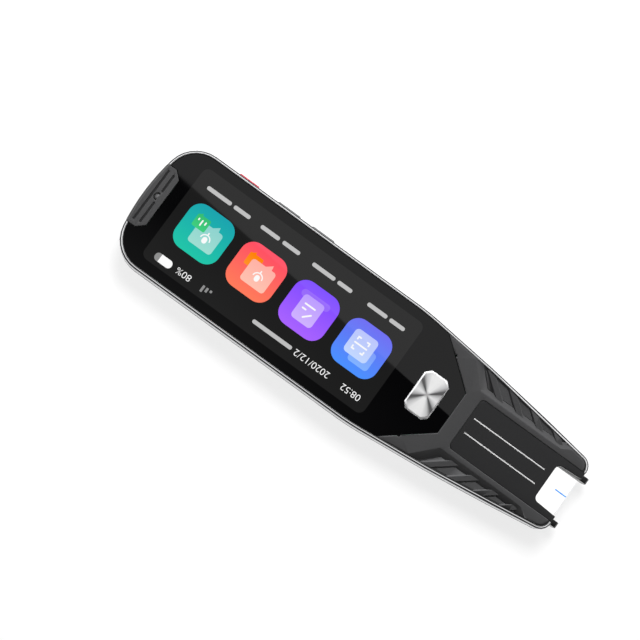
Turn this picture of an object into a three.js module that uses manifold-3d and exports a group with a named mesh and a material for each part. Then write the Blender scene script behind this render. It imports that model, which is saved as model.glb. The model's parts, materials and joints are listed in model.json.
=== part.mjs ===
// Handheld translator: a flat scanning pen with a touch display, lying on its back.
// Units are millimetres. +X runs from the scanning tip to the port end, +Y is up on the
// display, +Z points out of the display. Lengths along the pen are first measured from the
// tip of the housing ("stations"), and the finished group is then moved so that the origin
// lies on the flat of the back, halfway along the pen.
import * as THREE from "three";
import { mergeVertices } from "three/addons/utils/BufferGeometryUtils.js";
import Module from "manifold-3d";

const wasm = await Module();
wasm.setup();

// Driving dimensions
const bodyLength = 155;
const bodyWidth = 41.4;
const bodyThickness = 14;
const seamHeight = 7.6; // the back shell ends here and the metal frame begins
const fit = 0.15; // clearance between pieces that are placed in one another
const hairline = 0.05; // clearance between pieces that touch
const slack = 0.3; // clearance round pieces that move
const keyTravel = 0.5; // side keys and OK button
const nibTravel = 0.9;
const cut = 3; // how far a cutting body runs past what it cuts
const plateThickness = 1; // camera plate, let into the back
const seatSkin = 0.35; // what is left of the back under that plate
const wall = plateThickness + fit + seatSkin; // back shell
const halfWidth = bodyWidth / 2;

// Outline of the body seen from the front
const tipHalfWidth = 12.45; // where the tapered side would meet the tip
const shoulderStation = 66; // end of the taper
const shoulderStep = 0.08; // what the parabola after the taper still adds
const shoulderHalfWidth = halfWidth - shoulderStep;
const taperBulge = 0.65;
const shoulderBlend = 4;
const tipCornerRadius = 3.8;
const endCornerRadius = 10.5;
const endBowRadius = 70;
const sharpestCorner = 0.5;

// Back of the body
const plateauMargin = 9.3;
const back = {
  edgeTop: seamHeight - 1, // the side is upright from here to the seam
  flankDepth: 7.1, // how far in the rounded flank runs
  flankFloor: 1.6,
  crownDepth: 9.3, // the fuller rounding that shows where there is no step
  plateauHalf: halfWidth - plateauMargin,
  stepRun: 2.3, // the slanted step from the plateau to the flank
  fadeStart: 44, // from here towards the tip the step swings out
  fadeEnd: 26,
  fadeStep: 3,
  footFade: 0.9, // where the step ends beside the rim
  edgeFade: 1.5,
  footBend: 2,
  edgeBend: 1.5,
  tipRise: 2.4, // the back slopes up by this towards the tip
  slopeEnd: 60,
  endDepth: 6, // rounding at the port end and at the tip
  tipDepth: 2,
  flankSteps: 6,
  plateauShares: [1, 0.88, 0.7, 0.4, 0],
  closest: 0.25, // sections nearer than this to each other are left out
};

// Finger pads on the back; their faces lie in the plane of the plateau
const pads = [
  { gap: 30.1, length: 6.5, halfShare: 0.746 },
  { gap: 19.4, length: 5.6, halfShare: 0.465 },
].map(({ gap, length, halfShare }) => ({
  start: shoulderStation - gap - length,
  end: shoulderStation - gap,
  half: back.plateauHalf * halfShare,
}));
const padSlope = 0.7;
const padCorner = 1.6;
const padRoot = 0.6;

// U-shaped opening in the tip
const notch = { half: 6.4, depth: 8.4, corner: 1.6, flare: 0.6, flareEnd: 6.4 };
const shellNotch = { half: 9.15, depth: 10.2 }; // wider in the shell, where the nib slides

// Metal frame round the front
const glass = { thickness: 0.9, tape: 0.1, gap: 0.1, sunk: 0.4, tapeWidth: 1.6 };
const glassTop = bodyThickness - glass.sunk;
const ledge = glassTop - glass.thickness - glass.tape; // the shelf that carries the glass
const frame = {
  topWall: 0.9,
  keyWall: 1.35,
  innerWall: 2,
  lowerRound: 0.25,
  lowerRoundHeight: 1,
  chamferHeight: 0.8,
  chamferWidth: 0.7,
  flangeReach: 3.6,
  flangeThickness: 0.6,
  endWall: 1.5,
};

// Grey front cover of the tip
const panel = { length: 37.9, half: 8.76, corner: 1.4, sunk: 0.4, thickness: 1.2, reveal: 0.2, apron: 1 };
const cover = {
  thickness: 3.7,
  edgeGap: 4.9, // from the panel to the straight edge against the glass
  edgeHalf: 7.2,
  armRun: 14.2, // from that edge to where the arms reach the frame
  armMargin: 2,
  bevel: 0.3,
  micShare: 0.63, // place of the microphone holes along the arm's edge
  micRadius: 0.55,
};
const coverEdge = panel.length + cover.edgeGap;
const coverLow = bodyThickness - cover.thickness;

// Soft grips, let into that cover beside the panel
const grip = {
  start: 12.1,
  endGap: 0.2,
  innerGap: 3.44, // from the panel to the foot of the pocket's wall
  endSlantRun: 6.7,
  endSlantRise: 7,
  startSlantRun: 3.3,
  startSlantRise: 1.8,
  wallRun: 1.9, // slope of the pocket's wall
  depth: 1.3,
  base: 1.1,
  ribHeight: 0.75,
  ribPitch: 7.35,
  ribWidth: 3.5,
  ribCrown: 0.45,
  ribCount: 4,
  ribStart: 10.6,
  ribSlant: 0.8,
};
const gripInner = panel.half + grip.innerGap;
const gripFace = bodyThickness - grip.depth;
const gripFloor = gripFace - grip.base;
const gripEnd = panel.length + grip.endGap;

// Display stack, from the glass down to the battery
const buttonGap = 9.2; // from the edge of the glass to the middle of the OK button
const okStation = coverEdge + buttonGap;
const display = { margin: 3.5, thickness: 1, corner: 1.6, startGap: 11.6, endGap: 8.8 };
const displayStart = okStation + display.startGap;
const displayEnd = bodyLength - display.endGap;
const displayHalf = halfWidth - display.margin;
const panelLow = ledge - display.thickness;
const backlight = { thickness: 0.8, length: 0.3, inset: 0.15 };
const backlightLow = panelLow - hairline - backlight.thickness;
const tray = { margin: 2.9, startGap: 3.2, endGap: 1, thickness: 0.5 };
const trayHigh = backlightLow - fit;
const flangeHigh = trayHigh - tray.thickness;
const board = { margin: 5.7, startGap: 7.6, drop: 0.1, thickness: 0.8, chamfer: 1.6 };
const boardLow = seamHeight - board.drop;
const boardTop = boardLow + board.thickness;
const boardHalf = halfWidth - board.margin;
const boardStart = okStation - board.startGap;
const post = { radius: 1.5, hole: 0.6, inset: 6.5, edge: 2.6 };
const screw = { head: 1.1, headHeight: 0.5, length: 1.6, shank: 0.5, driveRadius: 0.48, driveDepth: 0.3 };

// Parts on the main board: the shares are of the display's length, and y is the place across it
const chips = {
  processor_shield: { startShares: 0.142, endShares: 0.359, y: 0, width: 16, height: 1.3 },
  memory_chip: { startShares: 0.386, endShares: 0.525, y: 2, width: 9, height: 0.9 },
  radio_shield: { startShares: 0.6, endShares: 0.769, y: 2, width: 12, height: 1.2 },
};
const microphone = { inset: 2, length: 3, width: 2.2, height: 1 };
const okSwitch = { length: 5, width: 5, height: 0.7 };

// Flap over the charging port, hinged on a pin across the end
const port = { gap: 6.5, half: 10.4, innerHalf: 8.2, chamfer: 2.4, leg: 1.9, proud: 0.05 };
const portStation = bodyLength - port.gap;
const legStation = bodyLength - port.leg;
const hinge = {
  inset: 0.8,
  height: 0.65, // of the axis above the seam
  pin: 0.35,
  hole: 0.45,
  knuckle: 0.65,
  lugStart: 2,
  knuckleStart: 3.4,
  knuckleEnd: 6.2,
  lugEnd: 7.6,
  floorGap: 0.7, // from the seam to the flap's lower edge
  toe: 0.45,
};
const hingeStation = bodyLength - hinge.inset;
const hingeHeight = seamHeight + hinge.height;
const groove = {
  width: 0.7,
  depth: 0.4,
  round: 0.28,
  outerGap: 2.4,
  innerGap: 4.5,
  outerHalf: 9,
  lowStart: -2.4,
  highStart: 1.2,
  innerHalf: 8.6,
};
const nail = { gap: 4.3, y: -0.6, radius: 1.3, width: 0.45, depth: 0.6, sideShare: 0.12 };

const socket = { width: 9, height: 3.2, length: 4.5, sheet: 0.35, round: 1.45, mouthGap: 2.8 };
const socketMouth = bodyLength - socket.mouthGap;
const socketCentre = boardTop + socket.height / 2;
const tongue = { half: 3.2, thickness: 0.7, out: 0.8 };

// OK button
const okButton = {
  width: 8.4,
  length: 13.7,
  chamfer: 1.6,
  proud: 0.7,
  flange: 0.8,
  flangeThickness: 0.7,
  bevel: 0.3,
  stem: 1.4,
};

// Side keys: places measured back from the port end
const key = { height: 2.2, drop: 4, proud: 0.65, slope: 0.8, flange: 0.6, flangeEdge: 0.6 };
const keyCentre = bodyThickness - key.drop;
const keyRow = { endGap: 19.1, recordLength: 8.2, recordGap: 6, volumeLength: 9.2, volumeGap: 3.3 };
const recordEnd = bodyLength - keyRow.endGap;
const volumeUpEnd = recordEnd - keyRow.recordLength - keyRow.recordGap;
const volumeDownEnd = volumeUpEnd - keyRow.volumeLength - keyRow.volumeGap;
const keys = {
  record: { start: recordEnd - keyRow.recordLength, end: recordEnd },
  volume_up: { start: volumeUpEnd - keyRow.volumeLength, end: volumeUpEnd },
  volume_down: { start: volumeDownEnd - keyRow.volumeLength, end: volumeDownEnd },
};
const nub = { length: 2, drop: 1.1, height: 0.8, reach: 1 };
const sideSwitch = { length: 3.4, height: 1.5, depth: 1.5 };
const keyFlex = { edge: 2, thickness: 0.15 };
const keyRoot = halfWidth - frame.innerWall - slack;
const nubTip = keyRoot - nub.reach;
const switchFace = nubTip - keyTravel - hairline;

// Nib: a fork of two skids, a yoke behind the notch and two spring-loaded arms
const skid = { inner: 7.05, outer: 8.95, low: 2.6, drop: 0.15, reach: 2.7, end: 9.2, nose: 1.2 };
const skidHigh = seamHeight - skid.drop;
const yokeInset = 0.4;
const arm = { inner: 8.2, outer: 9.4, drop: 1.2, height: 2, end: 17, pin: 0.4, pinLength: 2 };
const armHigh = seamHeight - arm.drop;
const armLow = armHigh - arm.height;
const trigger = { station: 13.6, length: 1, rise: 0.7 };
const spring = { radius: 0.85, wire: 0.16, turns: 6, steps: 8, sides: 5 };
const bulkhead = { gap: 2.5, thickness: 1, low: 3, drop: 0.3, inner: 7.8 };

// Scanner behind the notch
const scanWindow = { gap: 2.8, length: 9.1, half: 7.3, rim: 0.9, corner: 1.4, pane: 0.8 };
const windowStart = notch.depth + scanWindow.gap;
const windowEnd = windowStart + scanWindow.length;
const well = { drop: 0.4, paneDeep: 5.6, paneShallow: 2.9 };
const scanBoardSize = { drop: 0.15, thickness: 0.6, half: 9.6, tail: 3 };
const scanBoardLow = seamHeight - scanBoardSize.drop;
const scanCameraSize = { gap: 1.7, length: 9, half: 4.6, low: 3.1, lens: 1.9, lensOut: 1.1 };
const scanCameraStart = windowEnd + scanCameraSize.gap;
const led = { gap: 3.3, y: 4, size: 1.6, height: 0.5 };
const nibSwitchLength = 2.4;

// Plate over the glass edge of the notch that shows the aiming line
const aim = { drop: 3.1, thickness: 0.8, edge: 0.5, start: 0.6 };
const aimLow = bodyThickness - aim.drop;
const line = { start: 0.7, length: 3.9, width: 0.4, height: 0.12 };

// Rear camera, its plate and the loudspeaker, placed from the port end
const camera = { gap: 29.6, radius: 5.15, lensRadius: 1.45, throat: 1.5, block: 8.6, seat: 0.15 };
const cameraStation = bodyLength - camera.gap;
const bezel = { sunk: 0.05, cone: 1, thickness: 1.3, bevel: 0.15 };
const lens = { bulge: 0.3, shoulderShare: 0.6 };
const plate = { lead: 5.25, half: 10.2, chamfer: 2.6, topGap: 0.4 };
const plateStart = cameraStation - camera.radius - plate.lead;
const plateTop = back.edgeTop - plate.topGap;
const speaker = {
  gap: 16.3,
  length: 13,
  width: 15,
  thickness: 4.3,
  cone: 5,
  cap: 2.1,
  mesh: 0.3,
  depth: 0.6,
};
const speakerStation = bodyLength - speaker.gap;
const slot = { width: 1.2, pitch: 2.14, long: 7.7, round: 0.57 };
const slotShares = [0.52, 1, 1, 1, 0.52];
const battery = { startGap: 1.2, endGap: 9.1, sideGap: 2.9, thickness: 5.1, corner: 1.6, pad: 0.45 };
const batteryStart = displayStart - battery.startGap;
const batteryEnd = cameraStation - camera.block / 2 - battery.endGap;
const batteryHalf = halfWidth - post.inset - screw.head - battery.sideGap;

const totalLength = bodyLength + skid.reach;
const originStation = totalLength / 2 - skid.reach;

// Colours
const gunmetal = { color: 0x5b5c5e, roughness: 0.42, metalness: 0.6 };
const silver = { color: 0xc9cbce, roughness: 0.22, metalness: 1 };
const coverGrey = { color: 0x484848, roughness: 0.6, metalness: 0 };
const charcoal = { color: 0x262627, roughness: 0.5, metalness: 0 };
const rubberGrey = { color: 0x3b3b3c, roughness: 0.85, metalness: 0 };
const blackGloss = { color: 0x08080a, roughness: 0.06, metalness: 0 };
const blackPlastic = { color: 0x0e0e10, roughness: 0.4, metalness: 0 };
const clear = { color: 0xf2f6f8, roughness: 0.04, metalness: 0, transparent: true, opacity: 0.25 };
const smoked = { color: 0x4a4b4d, roughness: 0.15, metalness: 0 };
const brightSteel = { color: 0xd8d8d8, roughness: 0.25, metalness: 1 };
const red = { color: 0xd8203c, roughness: 0.35, metalness: 0.3 };
const blue = { color: 0x2f86f5, roughness: 0.4, metalness: 0 };
const boardGreen = { color: 0x14503a, roughness: 0.5, metalness: 0 };
const foilSilver = { color: 0xb4b6b8, roughness: 0.35, metalness: 0.8 };
const meshBlack = { color: 0x101010, roughness: 0.9, metalness: 0 };

// From a closed three.js geometry to a solid, and back
function solid(geometry) {
  const bare = geometry.clone();
  bare.deleteAttribute("normal");
  bare.deleteAttribute("uv");
  const merged = mergeVertices(bare, 1e-4);
  return new wasm.Manifold(
    new wasm.Mesh({
      numProp: 3,
      vertProperties: new Float32Array(merged.attributes.position.array),
      triVerts: new Uint32Array(merged.index.array),
    }),
  );
}

function geometryOf(shape) {
  const mesh = shape.getMesh();
  const geometry = new THREE.BufferGeometry();
  geometry.setAttribute("position", new THREE.BufferAttribute(mesh.vertProperties, 3));
  geometry.setIndex(new THREE.BufferAttribute(mesh.triVerts, 1));
  geometry.computeVertexNormals();
  return geometry;
}

const joined = (...shapes) => shapes.reduce((a, b) => a.add(b));
const without = (shape, ...cutters) => cutters.reduce((a, b) => a.subtract(b), shape);

// Box from its lowest to its highest corner
function box(low, high) {
  const size = high.map((v, i) => v - low[i]);
  const centre = high.map((v, i) => (v + low[i]) / 2);
  return solid(new THREE.BoxGeometry(...size).translate(...centre));
}

// Cylinder along x, y or z, from one end to the other
function rod(axis, radius, from, to, centre, sides = 20) {
  const length = to - from;
  const g = new THREE.CylinderGeometry(radius, radius, length, sides);
  const middle = (from + to) / 2;
  if (axis === "z") g.rotateX(Math.PI / 2).translate(centre[0], centre[1], middle);
  if (axis === "y") g.translate(centre[0], middle, centre[1]);
  if (axis === "x") g.rotateZ(Math.PI / 2).translate(middle, centre[0], centre[1]);
  return solid(g);
}

// Prism of a plan outline between two heights
function prism(points, low, high) {
  const shape = new THREE.Shape(points.map(([x, y]) => new THREE.Vector2(x, y)));
  const g = new THREE.ExtrudeGeometry(shape, { depth: high - low, bevelEnabled: false });
  return solid(g.translate(0, 0, low));
}

// Prism of a side outline, given as x and z, across the width
function sidePrism(points, low, high) {
  const shape = new THREE.Shape(points.map(([x, z]) => new THREE.Vector2(x, z)));
  const g = new THREE.ExtrudeGeometry(shape, { depth: high - low, bevelEnabled: false });
  return solid(g.rotateX(Math.PI / 2).translate(0, high, 0));
}

// Skin over rings of equally many points, each ring at its own height, closed at both ends
function loft(rings) {
  const count = rings[0].points.length;
  const positions = rings.flatMap((r) => r.points.flatMap(([x, y]) => [x, y, r.z]));
  const index = [];
  const flat = (r) => r.points.map(([x, y]) => new THREE.Vector2(x, y));
  for (const [a, b, c] of THREE.ShapeUtils.triangulateShape(flat(rings[0]), [])) index.push(a, c, b);
  for (let r = 0; r + 1 < rings.length; r++) {
    for (let i = 0; i < count; i++) {
      const a = r * count + i;
      const b = r * count + ((i + 1) % count);
      index.push(a, b, b + count, a, b + count, a + count);
    }
  }
  const last = (rings.length - 1) * count;
  const top = THREE.ShapeUtils.triangulateShape(flat(rings.at(-1)), []);
  for (const [a, b, c] of top) index.push(last + a, last + b, last + c);
  const g = new THREE.BufferGeometry();
  g.setAttribute("position", new THREE.Float32BufferAttribute(positions, 3));
  g.setIndex(index);
  return solid(g);
}

// Points of an arc, ends included
function arc(centre, radius, from, to, steps) {
  const points = [];
  for (let i = 0; i <= steps; i++) {
    const a = from + ((to - from) * i) / steps;
    points.push([centre[0] + radius * Math.cos(a), centre[1] + radius * Math.sin(a)]);
  }
  return points;
}

// Rectangle with round corners, as a plan outline
function roundedRectangle(x0, y0, x1, y1, radius, steps = 4) {
  const quarter = Math.PI / 2;
  return [
    ...arc([x1 - radius, y1 - radius], radius, 0, quarter, steps),
    ...arc([x0 + radius, y1 - radius], radius, quarter, 2 * quarter, steps),
    ...arc([x0 + radius, y0 + radius], radius, 2 * quarter, 3 * quarter, steps),
    ...arc([x1 - radius, y0 + radius], radius, 3 * quarter, 4 * quarter, steps),
  ];
}

// A chamfered rectangle, as a plan outline
function chamferedRectangle(x0, y0, x1, y1, chamfer) {
  return [
    [x0 + chamfer, y0],
    [x1 - chamfer, y0],
    [x1, y0 + chamfer],
    [x1, y1 - chamfer],
    [x1 - chamfer, y1],
    [x0 + chamfer, y1],
    [x0, y1 - chamfer],
    [x0, y0 + chamfer],
  ];
}

// The upper half of the body's outline from the tip to the middle of the port end, moved
// inwards by inset
const bowSteps = 4;
const bowCentre = bodyLength - endBowRadius;

function halfOutline(inset) {
  const rise = shoulderHalfWidth - tipHalfWidth;
  const sideAt = (x) => {
    const t = x / shoulderStation;
    return tipHalfWidth + rise * t + 4 * taperBulge * t * (1 - t);
  };
  const slopeAt = (x) => (rise + 4 * taperBulge * (1 - (2 * x) / shoulderStation)) / shoulderStation;
  const offset = (x, y, slope) => {
    const n = Math.hypot(1, slope);
    return [x + (inset * slope) / n, y - inset / n];
  };
  const half = [];
  const tipRadius = Math.max(tipCornerRadius - inset, sharpestCorner);
  const slope = slopeAt(0);
  const n = Math.hypot(1, slope);
  const tipX = inset + tipRadius;
  const tipY = tipHalfWidth - inset * n + slope * tipX - tipRadius * n;
  half.push(...arc([tipX, tipY], tipRadius, Math.PI, Math.PI / 2 + Math.atan(slope), 5));
  const first = tipX + tipRadius;
  const last = shoulderStation - shoulderBlend;
  const sideSteps = 5;
  for (let i = 0; i <= sideSteps; i++) {
    const x = first + ((last - first) * i) / sideSteps;
    half.push(offset(x, sideAt(x), slopeAt(x)));
  }
  // The taper runs into the straight side along a parabola
  const blendSteps = 3;
  const end = last + (2 * (halfWidth - sideAt(last))) / slopeAt(last);
  for (let i = 1; i <= blendSteps; i++) {
    const u = i / blendSteps;
    const x = last + (end - last) * u;
    const y = sideAt(last) + (halfWidth - sideAt(last)) * (2 * u - u * u);
    half.push(offset(x, y, slopeAt(last) * (1 - u)));
  }
  const cornerRadius = Math.max(endCornerRadius - inset, sharpestCorner);
  const cornerY = halfWidth - inset - cornerRadius;
  const reach = endBowRadius - inset - cornerRadius;
  const cornerX = bowCentre + Math.sqrt(reach * reach - cornerY * cornerY);
  const meet = Math.atan2(cornerY, cornerX - bowCentre);
  half.push(...arc([cornerX, cornerY], cornerRadius, Math.PI / 2, meet, 7));
  half.push(...arc([bowCentre, 0], endBowRadius - inset, meet, 0, bowSteps).slice(1));
  return half;
}

// The whole outline, anticlockwise
function outline(inset) {
  const half = halfOutline(inset);
  const lower = half.map(([x, y]) => [x, -y]);
  return [...lower, ...half.slice(0, -1).reverse()];
}

// Share of the full height that a rounding has reached at a share of its depth
const rounded = (share) => Math.sqrt(1 - (1 - Math.min(Math.max(share, 0), 1)) ** 2);
const between = (a, b, share) => a + (b - a) * share;

// The solid back of the body with its skin moved inwards, up to a given height. Sections stand
// across the body at each station. Each runs from the rim over the flank to the step, and over
// the plateau to the middle. Towards the tip the step swings out to the rim and fades away.
function backBody(skin, top) {
  const rim = halfOutline(skin).slice(0, -bowSteps);
  const bowRadius = endBowRadius - skin;
  const stations = rim.map(([x]) => x);
  for (let x = back.fadeEnd; x < back.fadeStart + back.fadeStep; x += back.fadeStep) stations.push(x);
  stations.push(back.slopeEnd);
  stations.push(bodyLength - skin - back.endDepth);
  stations.sort((a, b) => a - b);
  const spaced = stations.filter((x, i) => i === 0 || x - stations[i - 1] > back.closest);
  spaced[spaced.length - 1] = rim.at(-1)[0];
  const widthAt = (x) => {
    const i = Math.max(1, rim.findIndex((p) => p[0] >= x));
    const [a, b] = [rim[i - 1], rim[i]];
    return between(a[1], b[1], (x - a[0]) / (b[0] - a[0]));
  };
  const columns = spaced.map((x, i) => {
    const half = widthAt(x);
    const t = Math.min(Math.max((back.fadeStart - x) / (back.fadeStart - back.fadeEnd), 0), 1);
    const straightFoot = back.plateauHalf + back.stepRun - skin;
    const stepFoot = between(straightFoot, half - back.footFade, t ** back.footBend);
    const stepEdge = between(back.plateauHalf - skin, half - back.edgeFade, t ** back.edgeBend);
    const flank = [];
    for (let k = 0; k <= back.flankSteps; k++) {
      const share = 1 - Math.cos((k / back.flankSteps) * (Math.PI / 2));
      flank.push(between(half, Math.min(stepFoot, half - back.footFade), share));
    }
    const edge = Math.min(stepEdge, half - back.edgeFade);
    const ys = [...flank, ...back.plateauShares.map((share) => edge * share)];
    const last = i === spaced.length - 1;
    const points = ys.map((y, k) => {
      const inset = half - y;
      const full = back.edgeTop - (back.edgeTop - skin) * rounded(inset / back.crownDepth);
      const low = back.edgeTop - (back.edgeTop - back.flankFloor - skin) * rounded(inset / back.flankDepth);
      const side = k <= back.flankSteps ? between(low, full, t ** 2 * (3 - 2 * t)) : full;
      const lift = back.tipRise * Math.max(0, 1 - x / back.slopeEnd);
      const sloped = side + lift * (1 - side / back.edgeTop);
      const bow = bowCentre + Math.sqrt(bowRadius ** 2 - y ** 2);
      const ends = rounded((bow - x) / back.endDepth) * rounded((x - skin) / back.tipDepth);
      const z = last ? back.edgeTop : back.edgeTop - (back.edgeTop - sloped) * ends;
      return [last ? bow : x, y, z];
    });
    return [...points.map(([a, y, z]) => [a, -y, z]), ...points.slice(0, -1).reverse()];
  });
  const width = columns[0].length;
  const positions = columns.flat(2);
  const index = [];
  for (let i = 0; i + 1 < columns.length; i++) {
    for (let j = 0; j + 1 < width; j++) {
      const a = i * width + j;
      index.push(a, a + 1, a + width + 1, a, a + width + 1, a + width);
    }
  }
  const loop = columns.slice(0, -1).map((c, i) => i * width);
  const lastRow = (columns.length - 1) * width;
  for (let j = 0; j + 1 < width; j++) loop.push(lastRow + j);
  for (let i = columns.length - 1; i > 0; i--) loop.push(i * width + width - 1);
  for (let j = width - 1; j > 0; j--) loop.push(j);
  const base = positions.length / 3;
  const corners = loop.map((v) => [positions[v * 3], positions[v * 3 + 1]]);
  corners.forEach(([x, y]) => positions.push(x, y, top));
  loop.forEach((v, i) => {
    const j = (i + 1) % loop.length;
    index.push(v, loop[j], base + j, v, base + j, base + i);
  });
  const plan = corners.map(([x, y]) => new THREE.Vector2(x, y));
  for (const [a, b, c] of THREE.ShapeUtils.triangulateShape(plan, [])) {
    index.push(base + a, base + b, base + c);
  }
  const g = new THREE.BufferGeometry();
  g.setAttribute("position", new THREE.Float32BufferAttribute(positions, 3));
  g.setIndex(index);
  return solid(g);
}

// Height of the back's middle line
const backHeight = (x) => Math.max(0, back.tipRise * (1 - x / back.slopeEnd));

// The scene
const pen = new THREE.Group();

function piece(name, shape, look, group = pen) {
  const mesh = new THREE.Mesh(geometryOf(shape), new THREE.MeshStandardMaterial(look));
  mesh.name = name;
  group.add(mesh);
  return mesh;
}

// A box on one side of the pen: its y range is given as distances from the middle
function sideBox(x0, x1, inner, outer, low, high, side) {
  const ys = [inner * side, outer * side].sort((a, b) => a - b);
  return box([x0, ys[0], low], [x1, ys[1], high]);
}

// Finger pad: a raised block with rounded plan, its flat face in the plane of the plateau
function padSolid({ start, end, half }) {
  const faceHalf = half - padSlope;
  const face = roundedRectangle(start + padSlope, -faceHalf, end - padSlope, faceHalf, padCorner);
  const root = roundedRectangle(start, -half, end, half, padCorner + padSlope);
  return loft([
    { points: face, z: 0 },
    { points: root, z: backHeight(end) + padRoot / 2 },
    { points: root, z: backHeight(start) + padRoot },
  ]);
}

function plateOutline(grow) {
  const end = bodyLength + cut + plate.chamfer;
  return chamferedRectangle(plateStart - grow, -plate.half - grow, end, plate.half + grow, plate.chamfer);
}

// Painted back shell: a rounded tray with finger pads, the opening of the scanner's window, the
// sunk bed of the camera plate and two stops for the springs of the nib
function backShell() {
  const inside = backBody(wall, seamHeight + cut);
  const solidUpTo = windowStart - fit;
  const room = box([solidUpTo, -bodyWidth, 0], [bodyLength, bodyWidth, seamHeight + cut]);
  const hollow = inside.intersect(room);
  const bed = prism(plateOutline(fit), -cut, plateTop + fit).subtract(
    backBody(plateThickness + fit, seamHeight + cut),
  );
  const nibSlot = box(
    [-cut, -shellNotch.half, -cut],
    [shellNotch.depth, shellNotch.half, seamHeight + cut],
  );
  const windowHole = prism(
    roundedRectangle(windowStart, -scanWindow.half, windowEnd, scanWindow.half, scanWindow.corner),
    -cut,
    back.edgeTop,
  );
  const cameraHole = rod("z", camera.radius + fit, -cut, wall + cut, [cameraStation, 0], 32);
  const grilleHalf = (slot.pitch * slotShares.length) / 2;
  const speakerHole = box(
    [speakerStation - slot.long / 2, -grilleHalf, -cut],
    [speakerStation + slot.long / 2, grilleHalf, wall + fit],
  );
  const armHoles = [1, -1].map((side) =>
    sideBox(
      shellNotch.depth - cut,
      solidUpTo + cut,
      arm.inner - slack,
      arm.outer + slack,
      armLow - slack,
      armHigh + slack,
      side,
    ),
  );
  const stopAt = windowEnd + bulkhead.gap;
  const stops = [1, -1].map((side) =>
    sideBox(
      stopAt,
      stopAt + bulkhead.thickness,
      bulkhead.inner,
      halfWidth,
      bulkhead.low,
      seamHeight - bulkhead.drop,
      side,
    ).intersect(backBody(wall / 2, seamHeight)),
  );
  const hingeRoom = box(
    [hingeStation - slack * 2, -port.half, back.edgeTop],
    [bodyLength + cut, port.half, seamHeight + cut],
  );
  const shell = joined(backBody(0, seamHeight), ...pads.map(padSolid));
  const opened = without(
    shell,
    hollow,
    bed,
    nibSlot,
    windowHole,
    cameraHole,
    speakerHole,
    ...armHoles,
    hingeRoom,
  );
  return joined(opened, ...stops);
}

// Polished metal frame: a closed band with a shelf for the glass, an inner flange for the
// display tray, windows for the side keys and an end wall with the socket's opening
function frameBody(inset, top) {
  return loft([
    { points: outline(inset + frame.lowerRound), z: seamHeight },
    { points: outline(inset), z: seamHeight + frame.lowerRoundHeight },
    { points: outline(inset), z: bodyThickness - frame.chamferHeight },
    { points: outline(inset + frame.chamferWidth), z: top },
  ]);
}

function keyPocket({ start, end }) {
  const edge = key.flangeEdge + fit;
  return box(
    [start - edge, -halfWidth + frame.keyWall, keyCentre - key.height / 2 - edge],
    [end + edge, -halfWidth + frame.flangeReach + fit, keyCentre + key.height / 2 + edge],
  );
}

function keyWindow({ start, end }) {
  const half = key.height / 2 + fit;
  return box(
    [start - fit, -bodyWidth, keyCentre - half],
    [end + fit, -halfWidth + frame.innerWall, keyCentre + half],
  );
}

function midFrame() {
  const shelfRoom = prism(outline(frame.topWall), ledge, bodyThickness + cut);
  const inside = prism(outline(frame.innerWall), seamHeight - cut, ledge);
  const band = without(frameBody(0, bodyThickness), shelfRoom, inside);
  const flange = prism(outline(frame.innerWall - fit), flangeHigh - frame.flangeThickness, flangeHigh)
    .subtract(prism(outline(frame.flangeReach), 0, bodyThickness))
    .intersect(box([displayStart - tray.startGap, -bodyWidth, 0], [socketMouth, bodyWidth, bodyThickness]));
  const wallHalf = port.half + frame.endWall;
  const endWall = box([socketMouth - frame.endWall, -wallHalf, seamHeight], [socketMouth, wallHalf, ledge]);
  const tipGap = box([-cut, -skid.outer, 0], [frame.innerWall + cut, skid.outer, bodyThickness + cut]);
  const flapGap = prism(portOutline(fit), ledge, bodyThickness + cut);
  const legGap = box(
    [socketMouth, -port.half - fit, seamHeight - cut],
    [bodyLength + cut, port.half + fit, bodyThickness + cut],
  );
  const mouth = socketTube(fit, socketMouth - cut, socketMouth + cut);
  const keyRooms = Object.values(keys).flatMap((k) => [keyPocket(k), keyWindow(k)]);
  const whole = joined(band, flange, endWall);
  return joined(without(whole, tipGap, flapGap, legGap, mouth, ...keyRooms), ...hingeLugs());
}

// Hinge of the port flap: lugs on the frame, knuckles on the flap, one steel pin
function hingeBarrel(from, to, radius, side) {
  const ys = [from * side, to * side].sort((a, b) => a - b);
  return rod("y", radius, ys[0], ys[1], [hingeStation, hingeHeight], 16);
}

function hingeLugs() {
  const spans = [
    [hinge.lugStart, hinge.knuckleStart - fit],
    [hinge.knuckleEnd + fit, hinge.lugEnd],
  ];
  return [1, -1].flatMap((side) =>
    spans.map(([from, to]) => {
      const web = sideBox(socketMouth - fit, hingeStation, from, to, seamHeight, hingeHeight, side);
      const eye = hingeBarrel(from, to, hinge.knuckle, side);
      return joined(web, eye).subtract(hingeBarrel(from - fit, to + fit, hinge.hole, side));
    }),
  );
}

function hingePin() {
  return rod("y", hinge.pin, -hinge.lugEnd, hinge.lugEnd, [hingeStation, hingeHeight], 16);
}

// Flap over the port: its top fills the notch in the glass, its leg closes the end
function portOutline(grow) {
  const end = bodyLength + cut;
  return [
    [portStation - grow, -port.innerHalf - grow / 2],
    [portStation + port.chamfer - grow / 2, -port.half - grow],
    [end, -port.half - grow],
    [end, port.half + grow],
    [portStation + port.chamfer - grow / 2, port.half + grow],
    [portStation - grow, port.innerHalf + grow / 2],
  ];
}

const flapTop = bodyThickness + port.proud;

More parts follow.
